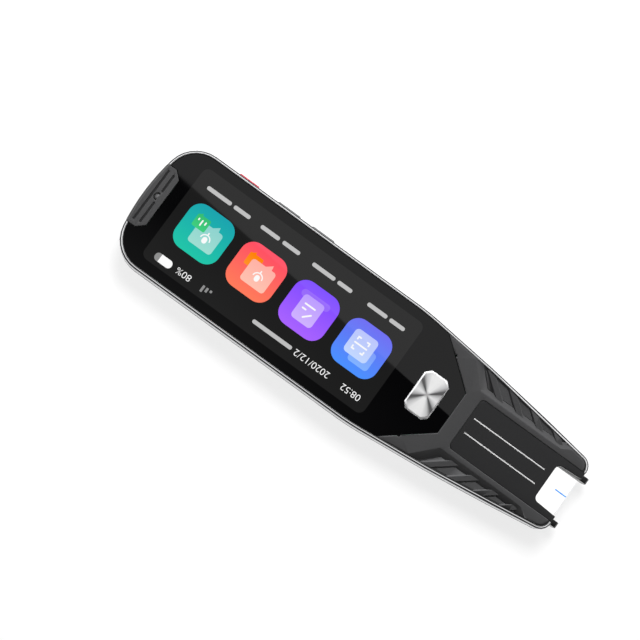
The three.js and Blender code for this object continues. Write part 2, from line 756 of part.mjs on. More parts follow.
function portGrooves() {
  const bar = (gap, y0, y1) => {
    const x = bodyLength - gap;
    const points = roundedRectangle(x - groove.width / 2, y0, x + groove.width / 2, y1, groove.round);
    return prism(points, flapTop - groove.depth, flapTop + cut);
  };
  const centre = [bodyLength - nail.gap, nail.y];
  const ring = rod("z", nail.radius, flapTop - nail.depth, flapTop + cut, centre, 20).subtract(
    rod("z", nail.radius - nail.width, 0, flapTop + cut * 2, centre, 20),
  );
  const half = box(
    [centre[0] - nail.radius * nail.sideShare, -port.half, 0],
    [bodyLength, port.half, flapTop + cut * 2],
  );
  return [
    bar(groove.outerGap, -groove.outerHalf, groove.outerHalf),
    bar(groove.innerGap, groove.highStart, groove.innerHalf),
    bar(groove.innerGap, -groove.innerHalf, groove.lowStart),
    ring.intersect(half),
  ];
}

function portFlap() {
  const low = seamHeight + hinge.floorGap;
  const skinned = frameBody(0, flapTop).intersect(prism(portOutline(0), low, flapTop + cut));
  const inside = box([0, -bodyWidth, -cut], [legStation, bodyWidth, ledge + fit]);
  // The toe is cut back so that it clears the shell while the flap swings down
  const toe = sidePrism(
    [
      [hingeStation, -cut],
      [bodyLength + cut, -cut],
      [bodyLength + cut, low + frame.lowerRoundHeight + hinge.toe],
      [bodyLength - hinge.toe / 2, low + frame.lowerRoundHeight],
      [hingeStation + hinge.toe / 2, low],
    ],
    -bodyWidth,
    bodyWidth,
  );
  const lugRooms = [1, -1].flatMap((side) => [
    hingeBarrel(hinge.lugStart - slack, hinge.knuckleStart, hinge.knuckle + slack, side),
    hingeBarrel(hinge.knuckleEnd, hinge.lugEnd + slack, hinge.knuckle + slack, side),
  ]);
  const knuckles = [1, -1].map((side) =>
    hingeBarrel(hinge.knuckleStart, hinge.knuckleEnd, hinge.knuckle, side),
  );
  const pinHole = rod("y", hinge.hole, -bodyWidth, bodyWidth, [hingeStation, hingeHeight], 16);
  const leaf = without(skinned, inside, toe, ...lugRooms);
  return without(joined(leaf, ...knuckles), pinHole, ...portGrooves());
}

// Charging socket: a rounded tube of sheet steel with a plastic tongue
function socketTube(grow, from, to) {
  const y = socket.width / 2 + grow;
  const h = socket.height / 2 + grow;
  const round = socket.round + grow;
  const section = roundedRectangle(-y, socketCentre - h, y, socketCentre + h, round, 6);
  const shape = new THREE.Shape(section.map(([a, b]) => new THREE.Vector2(a, b)));
  const g = new THREE.ExtrudeGeometry(shape, { depth: to - from, bevelEnabled: false });
  // The section's axes become y and z, and the extrusion runs along x
  g.applyMatrix4(new THREE.Matrix4().set(0, 0, 1, from, 1, 0, 0, 0, 0, 1, 0, 0, 0, 0, 0, 1));
  return solid(g);
}

function socketShell() {
  const start = socketMouth - socket.length;
  const bore = socketTube(-socket.sheet, start + socket.sheet, socketMouth + cut);
  return socketTube(0, start, socketMouth).subtract(bore);
}

function socketTongue() {
  const start = socketMouth - socket.length + socket.sheet;
  return box(
    [start, -tongue.half, socketCentre - tongue.thickness / 2],
    [socketMouth - tongue.out, tongue.half, socketCentre + tongue.thickness / 2],
  );
}

// Grey front cover of the tip: a plate with a bed for the panel and pockets for the two grips.
// Its region is what lies on the tip's side of the slanted edge against the glass.
function coverRegion(shrink) {
  const rise = halfWidth - cover.armMargin - cover.edgeHalf;
  const reach = halfWidth + cut - cover.edgeHalf;
  const far = coverEdge - shrink + (cover.armRun * reach) / rise;
  return [
    [-cut, -cover.edgeHalf - reach],
    [far, -cover.edgeHalf - reach],
    [coverEdge - shrink, -cover.edgeHalf],
    [coverEdge - shrink, cover.edgeHalf],
    [far, cover.edgeHalf + reach],
    [-cut, cover.edgeHalf + reach],
  ];
}

// Plan outline of a grip's pocket on one side; grow moves its inner walls outwards
function gripOutline(side, grow) {
  const inner = gripInner - grow;
  const width = halfWidth - gripInner;
  const points = [
    [grip.start - grow, inner],
    [gripEnd + grow, inner],
    [gripEnd + grow + (grip.endSlantRun * width) / grip.endSlantRise, inner + width],
    [grip.start - grow - (grip.startSlantRun * width) / grip.startSlantRise, inner + width],
  ];
  return side > 0 ? points : points.map(([x, y]) => [x, -y]).reverse();
}

function micHoles() {
  const x = coverEdge + cover.armRun * cover.micShare;
  const y = between(cover.edgeHalf, halfWidth - cover.armMargin, cover.micShare);
  return [y, -y].map((at) => rod("z", cover.micRadius, coverLow - cut, bodyThickness + cut, [x, at], 12));
}

function frontCover() {
  const gap = frame.topWall + fit;
  const lowGap = frame.innerWall + fit;
  const skin = loft([
    { points: outline(lowGap), z: coverLow },
    { points: outline(lowGap), z: ledge },
    { points: outline(gap), z: ledge + fit },
    { points: outline(gap), z: bodyThickness - cover.bevel },
    { points: outline(gap + cover.bevel), z: bodyThickness },
  ]);
  const bedFloor = bodyThickness - panel.sunk - panel.thickness - fit / 2;
  const bedHalf = panel.half + fit / 2;
  const panelBed = prism(
    roundedRectangle(-bodyLength, -bedHalf, panel.length + fit / 2, bedHalf, panel.corner),
    bedFloor,
    bodyThickness + cut,
  );
  const apronRoom = box([-cut, -bedHalf, 0], [notch.depth + panel.apron + fit, bedHalf, bodyThickness]);
  const pockets = [1, -1].flatMap((side) => [
    prism(gripOutline(side, 0), gripFloor, bodyThickness),
    loft([
      { points: gripOutline(side, 0), z: gripFace },
      { points: gripOutline(side, grip.wallRun), z: bodyThickness + fit },
    ]),
  ]);
  const region = prism(coverRegion(glass.gap), coverLow, bodyThickness);
  return without(skin.intersect(region), panelBed, apronRoom, ...pockets, ...micHoles());
}

// Soft grip with slanted ribs, one on each side of the tip
function slantedBand(x, width, side) {
  const rise = halfWidth - gripInner;
  const low = gripInner - grip.wallRun;
  const lean = 1 / grip.ribSlant;
  const points = [
    [x - grip.wallRun * lean, low],
    [x + width - grip.wallRun * lean, low],
    [x + width + rise * lean, gripInner + rise],
    [x + rise * lean, gripInner + rise],
  ];
  return side > 0 ? points : points.map(([a, b]) => [a, -b]).reverse();
}

function gripInsert(side) {
  const low = frame.innerWall + fit * 2;
  const high = frame.topWall + fit * 2;
  const limits = loft([
    { points: outline(low), z: gripFloor },
    { points: outline(low), z: ledge },
    { points: outline(high), z: ledge + fit },
    { points: outline(high), z: bodyThickness },
  ]);
  const base = prism(gripOutline(side, -fit), gripFloor, gripFace);
  const room = loft([
    { points: gripOutline(side, -fit), z: gripFace - fit },
    { points: gripOutline(side, -fit), z: gripFace },
    { points: gripOutline(side, grip.wallRun - fit), z: bodyThickness + fit },
  ]);
  const crest = grip.ribWidth - grip.ribCrown * 2;
  const ribs = [];
  for (let i = 0; i < grip.ribCount; i++) {
    const x = grip.ribStart + i * grip.ribPitch;
    const foot = slantedBand(x, grip.ribWidth, side);
    ribs.push(
      loft([
        { points: foot, z: gripFace - fit },
        { points: foot, z: gripFace },
        { points: slantedBand(x + grip.ribCrown, crest, side), z: gripFace + grip.ribHeight },
      ]),
    );
  }
  return base.add(joined(...ribs).intersect(room)).intersect(limits);
}

// Dark panel in the middle of the tip; it also lines the walls of the notch
function tipPanel() {
  const top = bodyThickness - panel.sunk;
  const sheet = prism(
    roundedRectangle(-bodyLength, -panel.half, panel.length, panel.half, panel.corner),
    top - panel.thickness,
    top,
  );
  const apron = box(
    [-cut, -panel.half, seamHeight + fit],
    [notch.depth + panel.apron, panel.half, top - fit],
  );
  const fromTip = box([panel.reveal, -bodyWidth, 0], [bodyLength, bodyWidth, bodyThickness]);
  const notchPlan = roundedRectangle(-bodyLength, -notch.half, notch.depth, notch.half, notch.corner);
  const mouth = [
    [-cut, -notch.half - notch.flare],
    [notch.flareEnd, -notch.half],
    [notch.flareEnd, notch.half],
    [-cut, notch.half + notch.flare],
  ];
  const opening = prism(notchPlan, 0, bodyThickness).add(prism(mouth, 0, bodyThickness));
  const edge = aim.edge + fit / 2;
  const windowGroove = box(
    [-cut, -notch.half - edge, aimLow - fit / 2],
    [notch.depth + edge, notch.half + edge, aimLow + aim.thickness + fit / 2],
  );
  return without(joined(sheet, apron).intersect(fromTip), opening, windowGroove);
}

// Clear plate across the notch with the aiming line printed on it
function aimingWindow() {
  return box(
    [aim.start, -notch.half - aim.edge, aimLow],
    [notch.depth + aim.edge, notch.half + aim.edge, aimLow + aim.thickness],
  );
}

function aimingLine() {
  const low = aimLow + aim.thickness;
  return box(
    [line.start, -line.width / 2, low],
    [line.start + line.length, line.width / 2, low + line.height],
  );
}

// Cover glass over the display, with its tape, the panel, the backlight and the tray
function glassSheet(low, high) {
  return prism(outline(frame.topWall + glass.gap), low, high)
    .subtract(prism(coverRegion(0), low - cut, high + cut))
    .subtract(prism(portOutline(fit), low - cut, high + cut));
}

function okPlan(grow) {
  const w = okButton.width / 2 + grow;
  const l = okButton.length / 2 + grow;
  return chamferedRectangle(okStation - w, -l, okStation + w, l, okButton.chamfer);
}

function coverGlass() {
  return glassSheet(ledge + glass.tape, glassTop).subtract(prism(okPlan(fit), 0, bodyThickness));
}

function glassTape() {
  const high = ledge + glass.tape;
  const hollow = prism(outline(frame.innerWall + glass.tapeWidth), ledge - cut, high + cut)
    .subtract(prism(coverRegion(-glass.tapeWidth), ledge - cut * 2, high + cut * 2))
    .subtract(prism(portOutline(fit + glass.tapeWidth), ledge - cut * 2, high + cut * 2));
  return glassSheet(ledge, high).subtract(hollow);
}

function displayPanel() {
  return prism(
    roundedRectangle(displayStart, -displayHalf, displayEnd, displayHalf, display.corner),
    panelLow,
    ledge,
  );
}

function displayBacklight() {
  const half = displayHalf - backlight.inset;
  return box(
    [displayStart - backlight.length, -half, backlightLow],
    [displayEnd + backlight.length, half, backlightLow + backlight.thickness],
  );
}

const firstPost = displayStart - tray.startGap + post.inset;
const lastPost = displayEnd + tray.endGap - post.inset;
const postPlaces = [firstPost, lastPost].flatMap((x) => [
  [x, boardHalf - post.edge],
  [x, post.edge - boardHalf],
]);

function displayTray() {
  const half = halfWidth - tray.margin;
  const sheet = prism(outline(frame.innerWall + fit), flangeHigh, trayHigh).intersect(
    box([displayStart - tray.startGap, -half, 0], [displayEnd + tray.endGap, half, bodyThickness]),
  );
  const posts = postPlaces.map((at) => rod("z", post.radius, boardTop, flangeHigh + fit, at, 16));
  const holes = postPlaces.map((at) => rod("z", post.hole, boardTop - cut, flangeHigh, at, 12));
  const keyRooms = Object.values(keys).map(keyPocket);
  return without(joined(sheet, ...posts), ...holes, ...keyRooms);
}

// Main board, what is soldered to it, and its four screws
function mainBoard() {
  const end = displayEnd + tray.endGap;
  const plan = chamferedRectangle(boardStart, -boardHalf, end, boardHalf, board.chamfer);
  const sheet = prism(plan, boardLow, boardTop);
  const holes = postPlaces.map((at) => rod("z", post.hole + fit, 0, bodyThickness, at, 12));
  return without(sheet, ...holes);
}

function boardBlock(start, end, y, { width, height }) {
  return box([start, y - width / 2, boardTop], [end, y + width / 2, boardTop + height]);
}

function chip(place) {
  const run = displayEnd - displayStart;
  const start = displayStart + run * place.startShares;
  const end = displayStart + run * place.endShares;
  return boardBlock(start, end, place.y, place);
}

function besideButton(y, size) {
  return boardBlock(okStation - size.length / 2, okStation + size.length / 2, y, size);
}

function boardScrew() {
  const head = rod("z", screw.head, -screw.headHeight, 0, [0, 0], 16);
  const driveFloor = screw.driveDepth - screw.headHeight;
  const drive = rod("z", screw.driveRadius, -screw.headHeight - cut, driveFloor, [0, 0], 6);
  const shank = rod("z", screw.shank, -screw.driveDepth / 2, screw.length, [0, 0], 12);
  return joined(head.subtract(drive), shank);
}

// OK button: a metal cap with a flange under the glass and a stem down to its switch
function okCap() {
  const top = glassTop + okButton.proud;
  const under = ledge - fit;
  const low = under - okButton.flangeThickness;
  const cap = loft([
    { points: okPlan(0), z: low },
    { points: okPlan(0), z: top - okButton.bevel },
    { points: okPlan(-okButton.bevel), z: top },
  ]);
  const stemFoot = boardTop + okSwitch.height + keyTravel + hairline;
  const stem = rod("z", okButton.stem, stemFoot, under - fit, [okStation, 0], 16);
  return joined(cap, prism(okPlan(okButton.flange), low, under), stem);
}

// Side keys: a bar that stands out of the frame, with a flange inside and a nub to the switch
function sideKey({ start, end }) {
  const half = key.height / 2;
  const face = halfWidth + key.proud;
  const cap = prism(
    [
      [start, -keyRoot],
      [start, -halfWidth + fit],
      [start + key.slope, -face],
      [end - key.slope, -face],
      [end, -halfWidth + fit],
      [end, -keyRoot],
    ],
    keyCentre - half,
    keyCentre + half,
  );
  const edge = key.flangeEdge;
  const flange = box(
    [start - edge, -keyRoot - fit, keyCentre - half - edge],
    [end + edge, key.flange - keyRoot - fit, keyCentre + half + edge],
  );
  const middle = (start + end) / 2;
  const nubLow = keyCentre - nub.drop;
  const finger = box(
    [middle - nub.length / 2, -keyRoot, nubLow],
    [middle + nub.length / 2, -nubTip, nubLow + nub.height],
  );
  return joined(cap, flange, finger);
}

function keySwitch({ start, end }) {
  const middle = (start + end) / 2;
  const low = boardTop + keyFlex.thickness;
  return box(
    [middle - sideSwitch.length / 2, -switchFace, low],
    [middle + sideSwitch.length / 2, sideSwitch.depth - switchFace, low + sideSwitch.height],
  );
}

function sideKeyFlex() {
  const inner = sideSwitch.depth + keyFlex.edge - switchFace;
  return box(
    [keys.volume_down.start - keyFlex.edge, -switchFace, boardTop],
    [keys.record.end + keyFlex.edge, inner, boardTop + keyFlex.thickness],
  );
}

// Nib: pressing its skids on the page slides it in and closes its switch
function nibFrame() {
  const front = -skid.reach;
  const profile = [
    [front, skid.low + skid.nose * 2],
    [front + skid.nose / 2, skid.low + skid.nose / 2],
    [skid.nose, skid.low],
    [skid.end - skid.nose / 2, skid.low],
    [skid.end, skid.low + skid.nose / 2],
    [skid.end, skidHigh],
    [front + skid.nose / 2, skidHigh],
    [front, skidHigh - skid.nose / 2],
  ];
  const skids = [1, -1].map((side) => {
    const ys = [skid.inner * side, skid.outer * side].sort((a, b) => a - b);
    return sidePrism(profile, ys[0], ys[1]);
  });
  const yoke = box(
    [notch.depth + slack, -skid.outer, skid.low + yokeInset],
    [skid.end, skid.outer, skidHigh - yokeInset],
  );
  const arms = [1, -1].map((side) =>
    sideBox(skid.end - fit, arm.end, arm.inner, arm.outer, armLow, armHigh, side),
  );
  const pins = [1, -1].map((side) => springRod(arm.pin, arm.end - fit, arm.end + arm.pinLength, side));
  const finger = sideBox(
    trigger.station,
    trigger.station + trigger.length,
    arm.inner,
    arm.outer,
    armHigh - fit,
    armHigh + trigger.rise,
    1,
  );
  return joined(...skids, yoke, ...arms, ...pins, finger);
}

function nibSwitch() {
  const x = trigger.station + trigger.length + nibTravel + hairline;
  return sideBox(x, x + nibSwitchLength, arm.inner, arm.outer, armHigh + slack, scanBoardLow, 1);
}

const armMiddle = [(arm.inner + arm.outer) / 2, (armLow + armHigh) / 2];

function springRod(radius, from, to, side) {
  return rod("x", radius, from, to, [armMiddle[0] * side, armMiddle[1]], 12);
}

// Coil spring between an arm of the nib and the stop in the shell: a ring of points is carried
// along the helix and the rings are skinned
function nibSpring(side) {
  const from = arm.end + spring.wire + hairline;
  const to = windowEnd + bulkhead.gap - spring.wire - hairline;
  const total = spring.turns * spring.steps;
  const positions = [];
  for (let i = 0; i <= total; i++) {
    const share = i / total;
    const a = share * spring.turns * 2 * Math.PI;
    for (let j = 0; j < spring.sides; j++) {
      const b = (j / spring.sides) * 2 * Math.PI;
      const r = spring.radius + spring.wire * Math.cos(b);
      positions.push(
        from + (to - from) * share + spring.wire * Math.sin(b),
        armMiddle[0] * side + r * Math.cos(a),
        armMiddle[1] + r * Math.sin(a),
      );
    }
  }
  const index = [];
  for (let i = 0; i < total; i++) {
    for (let j = 0; j < spring.sides; j++) {
      const a = i * spring.sides + j;
      const b = i * spring.sides + ((j + 1) % spring.sides);
      index.push(a, a + spring.sides, b + spring.sides, a, b + spring.sides, b);
    }
  }
  const lastRing = total * spring.sides;
  for (let j = 1; j + 1 < spring.sides; j++) {
    index.push(0, j, j + 1);
    index.push(lastRing, lastRing + j + 1, lastRing + j);
  }
  const g = new THREE.BufferGeometry();
  g.setAttribute("position", new THREE.Float32BufferAttribute(positions, 3));
  g.setIndex(index);
  const made = solid(g);
  return made.volume() > 0 ? made : solid(g.setIndex(index.reverse()));
}

// Scanner: a well behind the window, its slanted smoked pane, and the board with the camera
// block and two lamps
function wellPlan(rim) {
  return roundedRectangle(
    windowStart + rim,
    -scanWindow.half + rim,
    windowEnd - rim,
    scanWindow.half - rim,
    scanWindow.corner - rim / 2,
  );
}

function windowBezel() {
  return prism(wellPlan(fit / 2), -cut, seamHeight - well.drop)
    .intersect(backBody(0, seamHeight))
    .subtract(prism(wellPlan(scanWindow.rim), -cut, seamHeight + cut));
}

function scanPane() {
  const slanted = sidePrism(
    [
      [windowStart, well.paneDeep],
      [windowEnd, well.paneShallow],
      [windowEnd, well.paneShallow + scanWindow.pane],
      [windowStart, well.paneDeep + scanWindow.pane],
    ],
    -scanWindow.half,
    scanWindow.half,
  );
  return slanted.intersect(prism(wellPlan(scanWindow.rim + fit / 2), 0, seamHeight));
}

function scanCamera() {
  const high = scanBoardLow - hairline;
  const start = scanCameraStart;
  const block = box(
    [start, -scanCameraSize.half, scanCameraSize.low],
    [start + scanCameraSize.length, scanCameraSize.half, high],
  );
  const middle = (scanCameraSize.low + high) / 2;
  const barrel = rod("x", scanCameraSize.lens, start - scanCameraSize.lensOut, start + fit, [0, middle], 16);
  return joined(block, barrel);
}

function scanBoard() {
  const end = scanCameraStart + scanCameraSize.length + scanBoardSize.tail;
  return box(
    [windowStart + fit, -scanBoardSize.half, scanBoardLow],
    [end, scanBoardSize.half, scanBoardLow + scanBoardSize.thickness],
  );
}

function scanLamp(side) {
  const x = windowStart + led.gap;
  const y = led.y * side;
  const h = led.size / 2;
  return box([x - h, y - h, scanBoardLow - led.height], [x + h, y + h, scanBoardLow]);
}

// Battery pouch on the floor of the shell
function batteryPouch() {
  const low = wall + battery.pad;
  const plan = roundedRectangle(batteryStart, -batteryHalf, batteryEnd, batteryHalf, battery.corner);
  return prism(plan, low, low + battery.thickness);
}

// Loudspeaker with its cone, and the mesh under the slots
function speakerBox() {
  const low = wall + speaker.mesh;
  const half = speaker.width / 2;
  const frameBox = box(
    [speakerStation - speaker.length / 2, -half, low],
    [speakerStation + speaker.length / 2, half, low + speaker.thickness],
  );
  const at = [speakerStation, 0];
  const cone = rod("z", speaker.cone, low - cut, low + speaker.depth, at, 24);
  const cap = rod("z", speaker.cap, low + fit, low + speaker.depth + fit, at, 16);
  return joined(frameBox.subtract(cone), cap);
}

function speakerMesh() {
  const halfX = slot.long / 2 + speaker.depth;
  const halfY = (slot.pitch * slotShares.length) / 2 + slack;
  return box([speakerStation - halfX, -halfY, wall], [speakerStation + halfX, halfY, wall + speaker.mesh]);
}

// Camera plate: let into the back and bent up round the port end
function cameraPlate() {
  const skinned = backBody(0, seamHeight).subtract(backBody(plateThickness, seamHeight + cut));
  const sheet = skinned.intersect(prism(plateOutline(0), -cut, plateTop));
  const lensHole = rod("z", camera.radius + fit / 2, -cut, wall + cut, [cameraStation, 0], 32);
  const grille = slotShares.map((share, i) => {
    const y = (i - (slotShares.length - 1) / 2) * slot.pitch;
    const half = (slot.long * share) / 2;
    const points = roundedRectangle(
      speakerStation - half,
      y - slot.width / 2,
      speakerStation + half,
      y + slot.width / 2,
      slot.round,
      3,
    );
    return prism(points, -cut, wall + fit);
  });
  return without(sheet, lensHole, ...grille);
}

// Camera: a shallow turned cone with the lens in its throat, and the module behind it
function turned(profile, sides) {
  const points = profile.map(([a, b]) => new THREE.Vector2(a, b));
  return solid(new THREE.LatheGeometry(points, sides).rotateX(Math.PI / 2).translate(cameraStation, 0, 0));
}

function cameraBezel() {
  const r = camera.radius;
  const high = bezel.sunk + bezel.thickness;
  return turned(
    [
      [camera.throat, bezel.sunk + bezel.cone],
      [r - bezel.bevel, bezel.sunk],
      [r, bezel.sunk + bezel.bevel],
      [r, high],
      [camera.throat, high],
      [camera.throat, bezel.sunk + bezel.cone],
    ],
    36,
  );
}

function cameraLens() {
  const r = camera.lensRadius;
  const edge = bezel.sunk + bezel.cone;
  const high = bezel.sunk + bezel.thickness + camera.seat;
  return turned(
    [
      [0, edge - lens.bulge],
      [r * lens.shoulderShare, edge - lens.bulge / 2],
      [r, edge],
      [r, high],
      [0, high],
    ],
    24,
  );
}

function cameraModule() {
  const half = camera.block / 2;
  const low = bezel.sunk + bezel.thickness + camera.seat + hairline;
  return box([cameraStation - half, -half, low], [cameraStation + half, half, boardLow - slack]);
}

// Assembly
piece("back_shell", backShell(), gunmetal);
piece("mid_frame", midFrame(), silver);
piece("front_cover", frontCover(), coverGrey);
piece("tip_panel", tipPanel(), charcoal);
piece("left_grip", gripInsert(1), rubberGrey);
piece("right_grip", gripInsert(-1), rubberGrey);
piece("cover_glass", coverGlass(), blackGloss);
piece("glass_tape", glassTape(), meshBlack);
piece("display_panel", displayPanel(), blackPlastic);
piece("display_backlight", displayBacklight(), foilSilver);
piece("display_tray", displayTray(), foilSilver);
piece("main_board", mainBoard(), boardGreen);
for (const [name, place] of Object.entries(chips)) {
  piece(name, chip(place), name === "memory_chip" ? blackPlastic : foilSilver);
}
piece("microphone_left", besideButton(boardHalf - microphone.inset, microphone), foilSilver);
piece("microphone_right", besideButton(microphone.inset - boardHalf, microphone), foilSilver);
piece("ok_switch", besideButton(0, okSwitch), brightSteel);
piece("battery", batteryPouch(), foilSilver);
piece("speaker", speakerBox(), blackPlastic);
piece("speaker_mesh", speakerMesh(), meshBlack);
piece("camera_plate", cameraPlate(), charcoal);
piece("camera_bezel", cameraBezel(), blackGloss);
piece("camera_lens", cameraLens(), blackGloss);
piece("camera_module", cameraModule(), blackPlastic);
piece("window_bezel", windowBezel(), blackPlastic);
piece("scan_pane", scanPane(), smoked);
piece("scan_camera", scanCamera(), blackPlastic);
piece("scan_board", scanBoard(), boardGreen);
piece("scan_lamp_left", scanLamp(1), clear);
piece("scan_lamp_right", scanLamp(-1), clear);
piece("nib_frame", nibFrame(), blackPlastic);
piece("nib_spring_left", nibSpring(1), brightSteel);
piece("nib_spring_right", nibSpring(-1), brightSteel);
piece("nib_switch", nibSwitch(), blackPlastic);
piece("aiming_window", aimingWindow(), clear);
piece("aiming_line", aimingLine(), blue);
piece("ok_button", okCap(), brightSteel);
for (const [name, place] of Object.entries(keys)) {
  piece(name + "_key", sideKey(place), name === "record" ? red : silver);
  piece(name + "_switch", keySwitch(place), blackPlastic);
}
piece("side_key_flex", sideKeyFlex(), smoked);
piece("usb_socket", socketShell(), brightSteel);
piece("usb_tongue", socketTongue(), blackPlastic);
piece("port_flap", portFlap(), rubberGrey);
piece("flap_hinge_pin", hingePin(), brightSteel);
postPlaces.forEach(([x, y], i) => {
  const mesh = piece("board_screw_" + (i + 1), boardScrew(), brightSteel);
  mesh.position.set(x, y, boardLow - hairline);
});

pen.position.x = -originStation;

export default pen;
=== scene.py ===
import json
import math

import bmesh
import bpy
from mathutils import Matrix, Vector

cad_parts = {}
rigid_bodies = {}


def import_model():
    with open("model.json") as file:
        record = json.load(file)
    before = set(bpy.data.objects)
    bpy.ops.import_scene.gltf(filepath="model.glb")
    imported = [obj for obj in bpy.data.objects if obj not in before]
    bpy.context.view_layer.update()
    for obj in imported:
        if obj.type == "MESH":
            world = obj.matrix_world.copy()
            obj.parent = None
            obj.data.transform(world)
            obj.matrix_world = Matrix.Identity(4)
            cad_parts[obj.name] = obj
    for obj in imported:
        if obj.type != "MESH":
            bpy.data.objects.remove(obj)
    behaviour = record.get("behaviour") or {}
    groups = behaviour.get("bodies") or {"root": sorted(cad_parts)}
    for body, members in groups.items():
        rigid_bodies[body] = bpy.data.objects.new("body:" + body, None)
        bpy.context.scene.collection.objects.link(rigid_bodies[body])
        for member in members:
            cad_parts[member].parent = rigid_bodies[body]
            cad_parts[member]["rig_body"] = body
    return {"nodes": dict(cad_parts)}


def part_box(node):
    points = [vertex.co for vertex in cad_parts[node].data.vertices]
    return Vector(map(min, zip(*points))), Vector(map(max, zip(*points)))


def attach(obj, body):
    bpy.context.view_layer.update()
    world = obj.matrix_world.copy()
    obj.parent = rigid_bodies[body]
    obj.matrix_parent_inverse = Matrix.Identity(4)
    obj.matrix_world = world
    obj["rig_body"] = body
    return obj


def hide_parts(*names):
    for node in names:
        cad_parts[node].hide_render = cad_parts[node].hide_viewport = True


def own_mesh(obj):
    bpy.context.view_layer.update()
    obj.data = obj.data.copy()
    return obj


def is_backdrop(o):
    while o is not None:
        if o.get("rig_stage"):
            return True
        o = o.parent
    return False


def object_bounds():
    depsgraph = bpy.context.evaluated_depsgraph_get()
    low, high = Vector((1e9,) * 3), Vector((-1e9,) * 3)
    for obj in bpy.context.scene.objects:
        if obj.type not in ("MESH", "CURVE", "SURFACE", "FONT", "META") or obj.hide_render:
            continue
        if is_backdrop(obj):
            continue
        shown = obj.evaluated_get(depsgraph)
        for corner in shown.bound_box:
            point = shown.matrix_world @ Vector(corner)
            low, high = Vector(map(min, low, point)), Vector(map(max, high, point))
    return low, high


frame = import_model()
cad_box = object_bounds()


# Viewpoint. The pen lies on its back with the display up, and is seen nearly square-on, from a
# little towards its +Y side, with its port end at the upper left and its tip at the lower right.
MM = 0.001
across_angle = math.radians(36.0)  # turn of the pen's length in the picture
lean = math.radians(7.1)  # how far the view leans over to the +Y side
camera_distance = 620 * MM
pixels_per_mm = 3.386
picture_side = 640
centre_offset = (36.9, -24.1)  # middle of the pen in the picture, in pixels right and up
front_height, sensor_width = 14 * MM, 36
shell_low, shell_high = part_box("back_shell")
pen_middle = Vector(((shell_low.x + shell_high.x) / 2, 0, front_height))

towards = Vector((0, math.sin(lean), math.cos(lean)))
right = Vector((
    -math.cos(across_angle),
    -math.sin(across_angle) * math.cos(lean),
    math.sin(across_angle) * math.sin(lean),
))
above = towards.cross(right)
camera = bpy.data.objects.new("viewpoint", bpy.data.cameras.new("viewpoint"))
bpy.context.scene.collection.objects.link(camera)
bpy.context.scene.camera = camera
side_shift = -right * centre_offset[0] - above * centre_offset[1]
camera.matrix_world = Matrix.Translation(
    pen_middle + towards * camera_distance + side_shift * MM / pixels_per_mm
) @ Matrix((right, above, towards)).transposed().to_4x4()
camera.data.sensor_width = sensor_width
camera.data.lens = sensor_width * pixels_per_mm * camera_distance / MM / picture_side
camera.data.clip_start = 10 * MM
bpy.context.scene.view_settings.view_transform = "Standard"


# Table. A plain sheet of matt card that takes the pen's soft shadow. Its own grey sends little
# light up at the pen; where the eye looks at it, or sees it in metal or through clear plastic, it
# is lifted to white.
def linear(code):
    shares = [int(code[i : i + 2], 16) / 255 for i in (1, 3, 5)]
    return [s / 12.92 if s <= 0.04045 else ((s + 0.055) / 1.055) ** 2.4 for s in shares] + [1]


def add(tree, kind, inputs=(), **settings):
    """Adds a node. A MapRange reads a range in 1 and 2 and turns it into 3 and 4; a Mix of
    colours goes from 6 to 7."""
    made = tree.nodes.new("ShaderNode" + kind)
    for name, value in settings.items():
        setattr(made, name, value)
    for name, value in dict(inputs).items():
        if isinstance(value, bpy.types.NodeSocket):
            tree.links.new(value, made.inputs[name])
        else:
            made.inputs[name].default_value = value
    return made


def finish_of(name, colour, roughness, metallic=0.0, **sockets):
    material = bpy.data.materials.new(name)
    material.use_nodes = True
    shader = material.node_tree.nodes["Principled BSDF"]
    shader.inputs["Base Color"].default_value = linear(colour)
    shader.inputs["Roughness"].default_value = roughness
    shader.inputs["Metallic"].default_value = metallic
    for socket, value in sockets.items():
        shader.inputs[socket.replace("_", " ")].default_value = value
    return material, material.node_tree, shader


table_side, gap_under_pen = 6, 0.02 * MM
white_to_the_eye, white_in_metal, white_through_plastic = 0.62, 0.65, 0.9
card, tree, shader = finish_of("matt_white_card", "#8e8e8e", 0.9)
seen = add(tree, "LightPath")
glow = add(
    tree, "Math", {0: seen.outputs["Is Camera Ray"], 1: white_to_the_eye}, operation="MULTIPLY"
)
for kind, share in (
    ("Is Glossy Ray", white_in_metal), ("Is Transmission Ray", white_through_plastic),
):
    part = add(tree, "Math", {0: seen.outputs[kind], 1: share}, operation="MULTIPLY")
    glow = add(tree, "Math", {0: glow.outputs[0], 1: part.outputs[0]}, operation="MAXIMUM")
shader.inputs["Emission Color"].default_value = (1, 1, 1, 1)
tree.links.new(glow.outputs[0], shader.inputs["Emission Strength"])

bm = bmesh.new()
bmesh.ops.create_grid(bm, x_segments=1, y_segments=1, size=table_side / 2)
bmesh.ops.translate(bm, vec=(0, 0, cad_box[0].z - gap_under_pen), verts=bm.verts)
mesh = bpy.data.meshes.new("table")
bm.to_mesh(mesh)
table = bpy.data.objects.new("table", mesh)
table.data.materials.append(card)
bpy.context.scene.collection.objects.link(table)
table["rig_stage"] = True


# Light. A bright room with a dark ceiling, two weak soft boxes, a low lamp that models the slanting
# walls, a lamp for the table alone, and a long pale card over the -Y side, whose straight edge
# shows in the glass as the slanting gleam.
def fill_ramp(ramp, stops):
    for place, _ in stops[1:-1]:
        ramp.color_ramp.elements.new(place)
    for stop, (place, colour) in zip(ramp.color_ramp.elements, stops):
        stop.position = place
        stop.color = colour


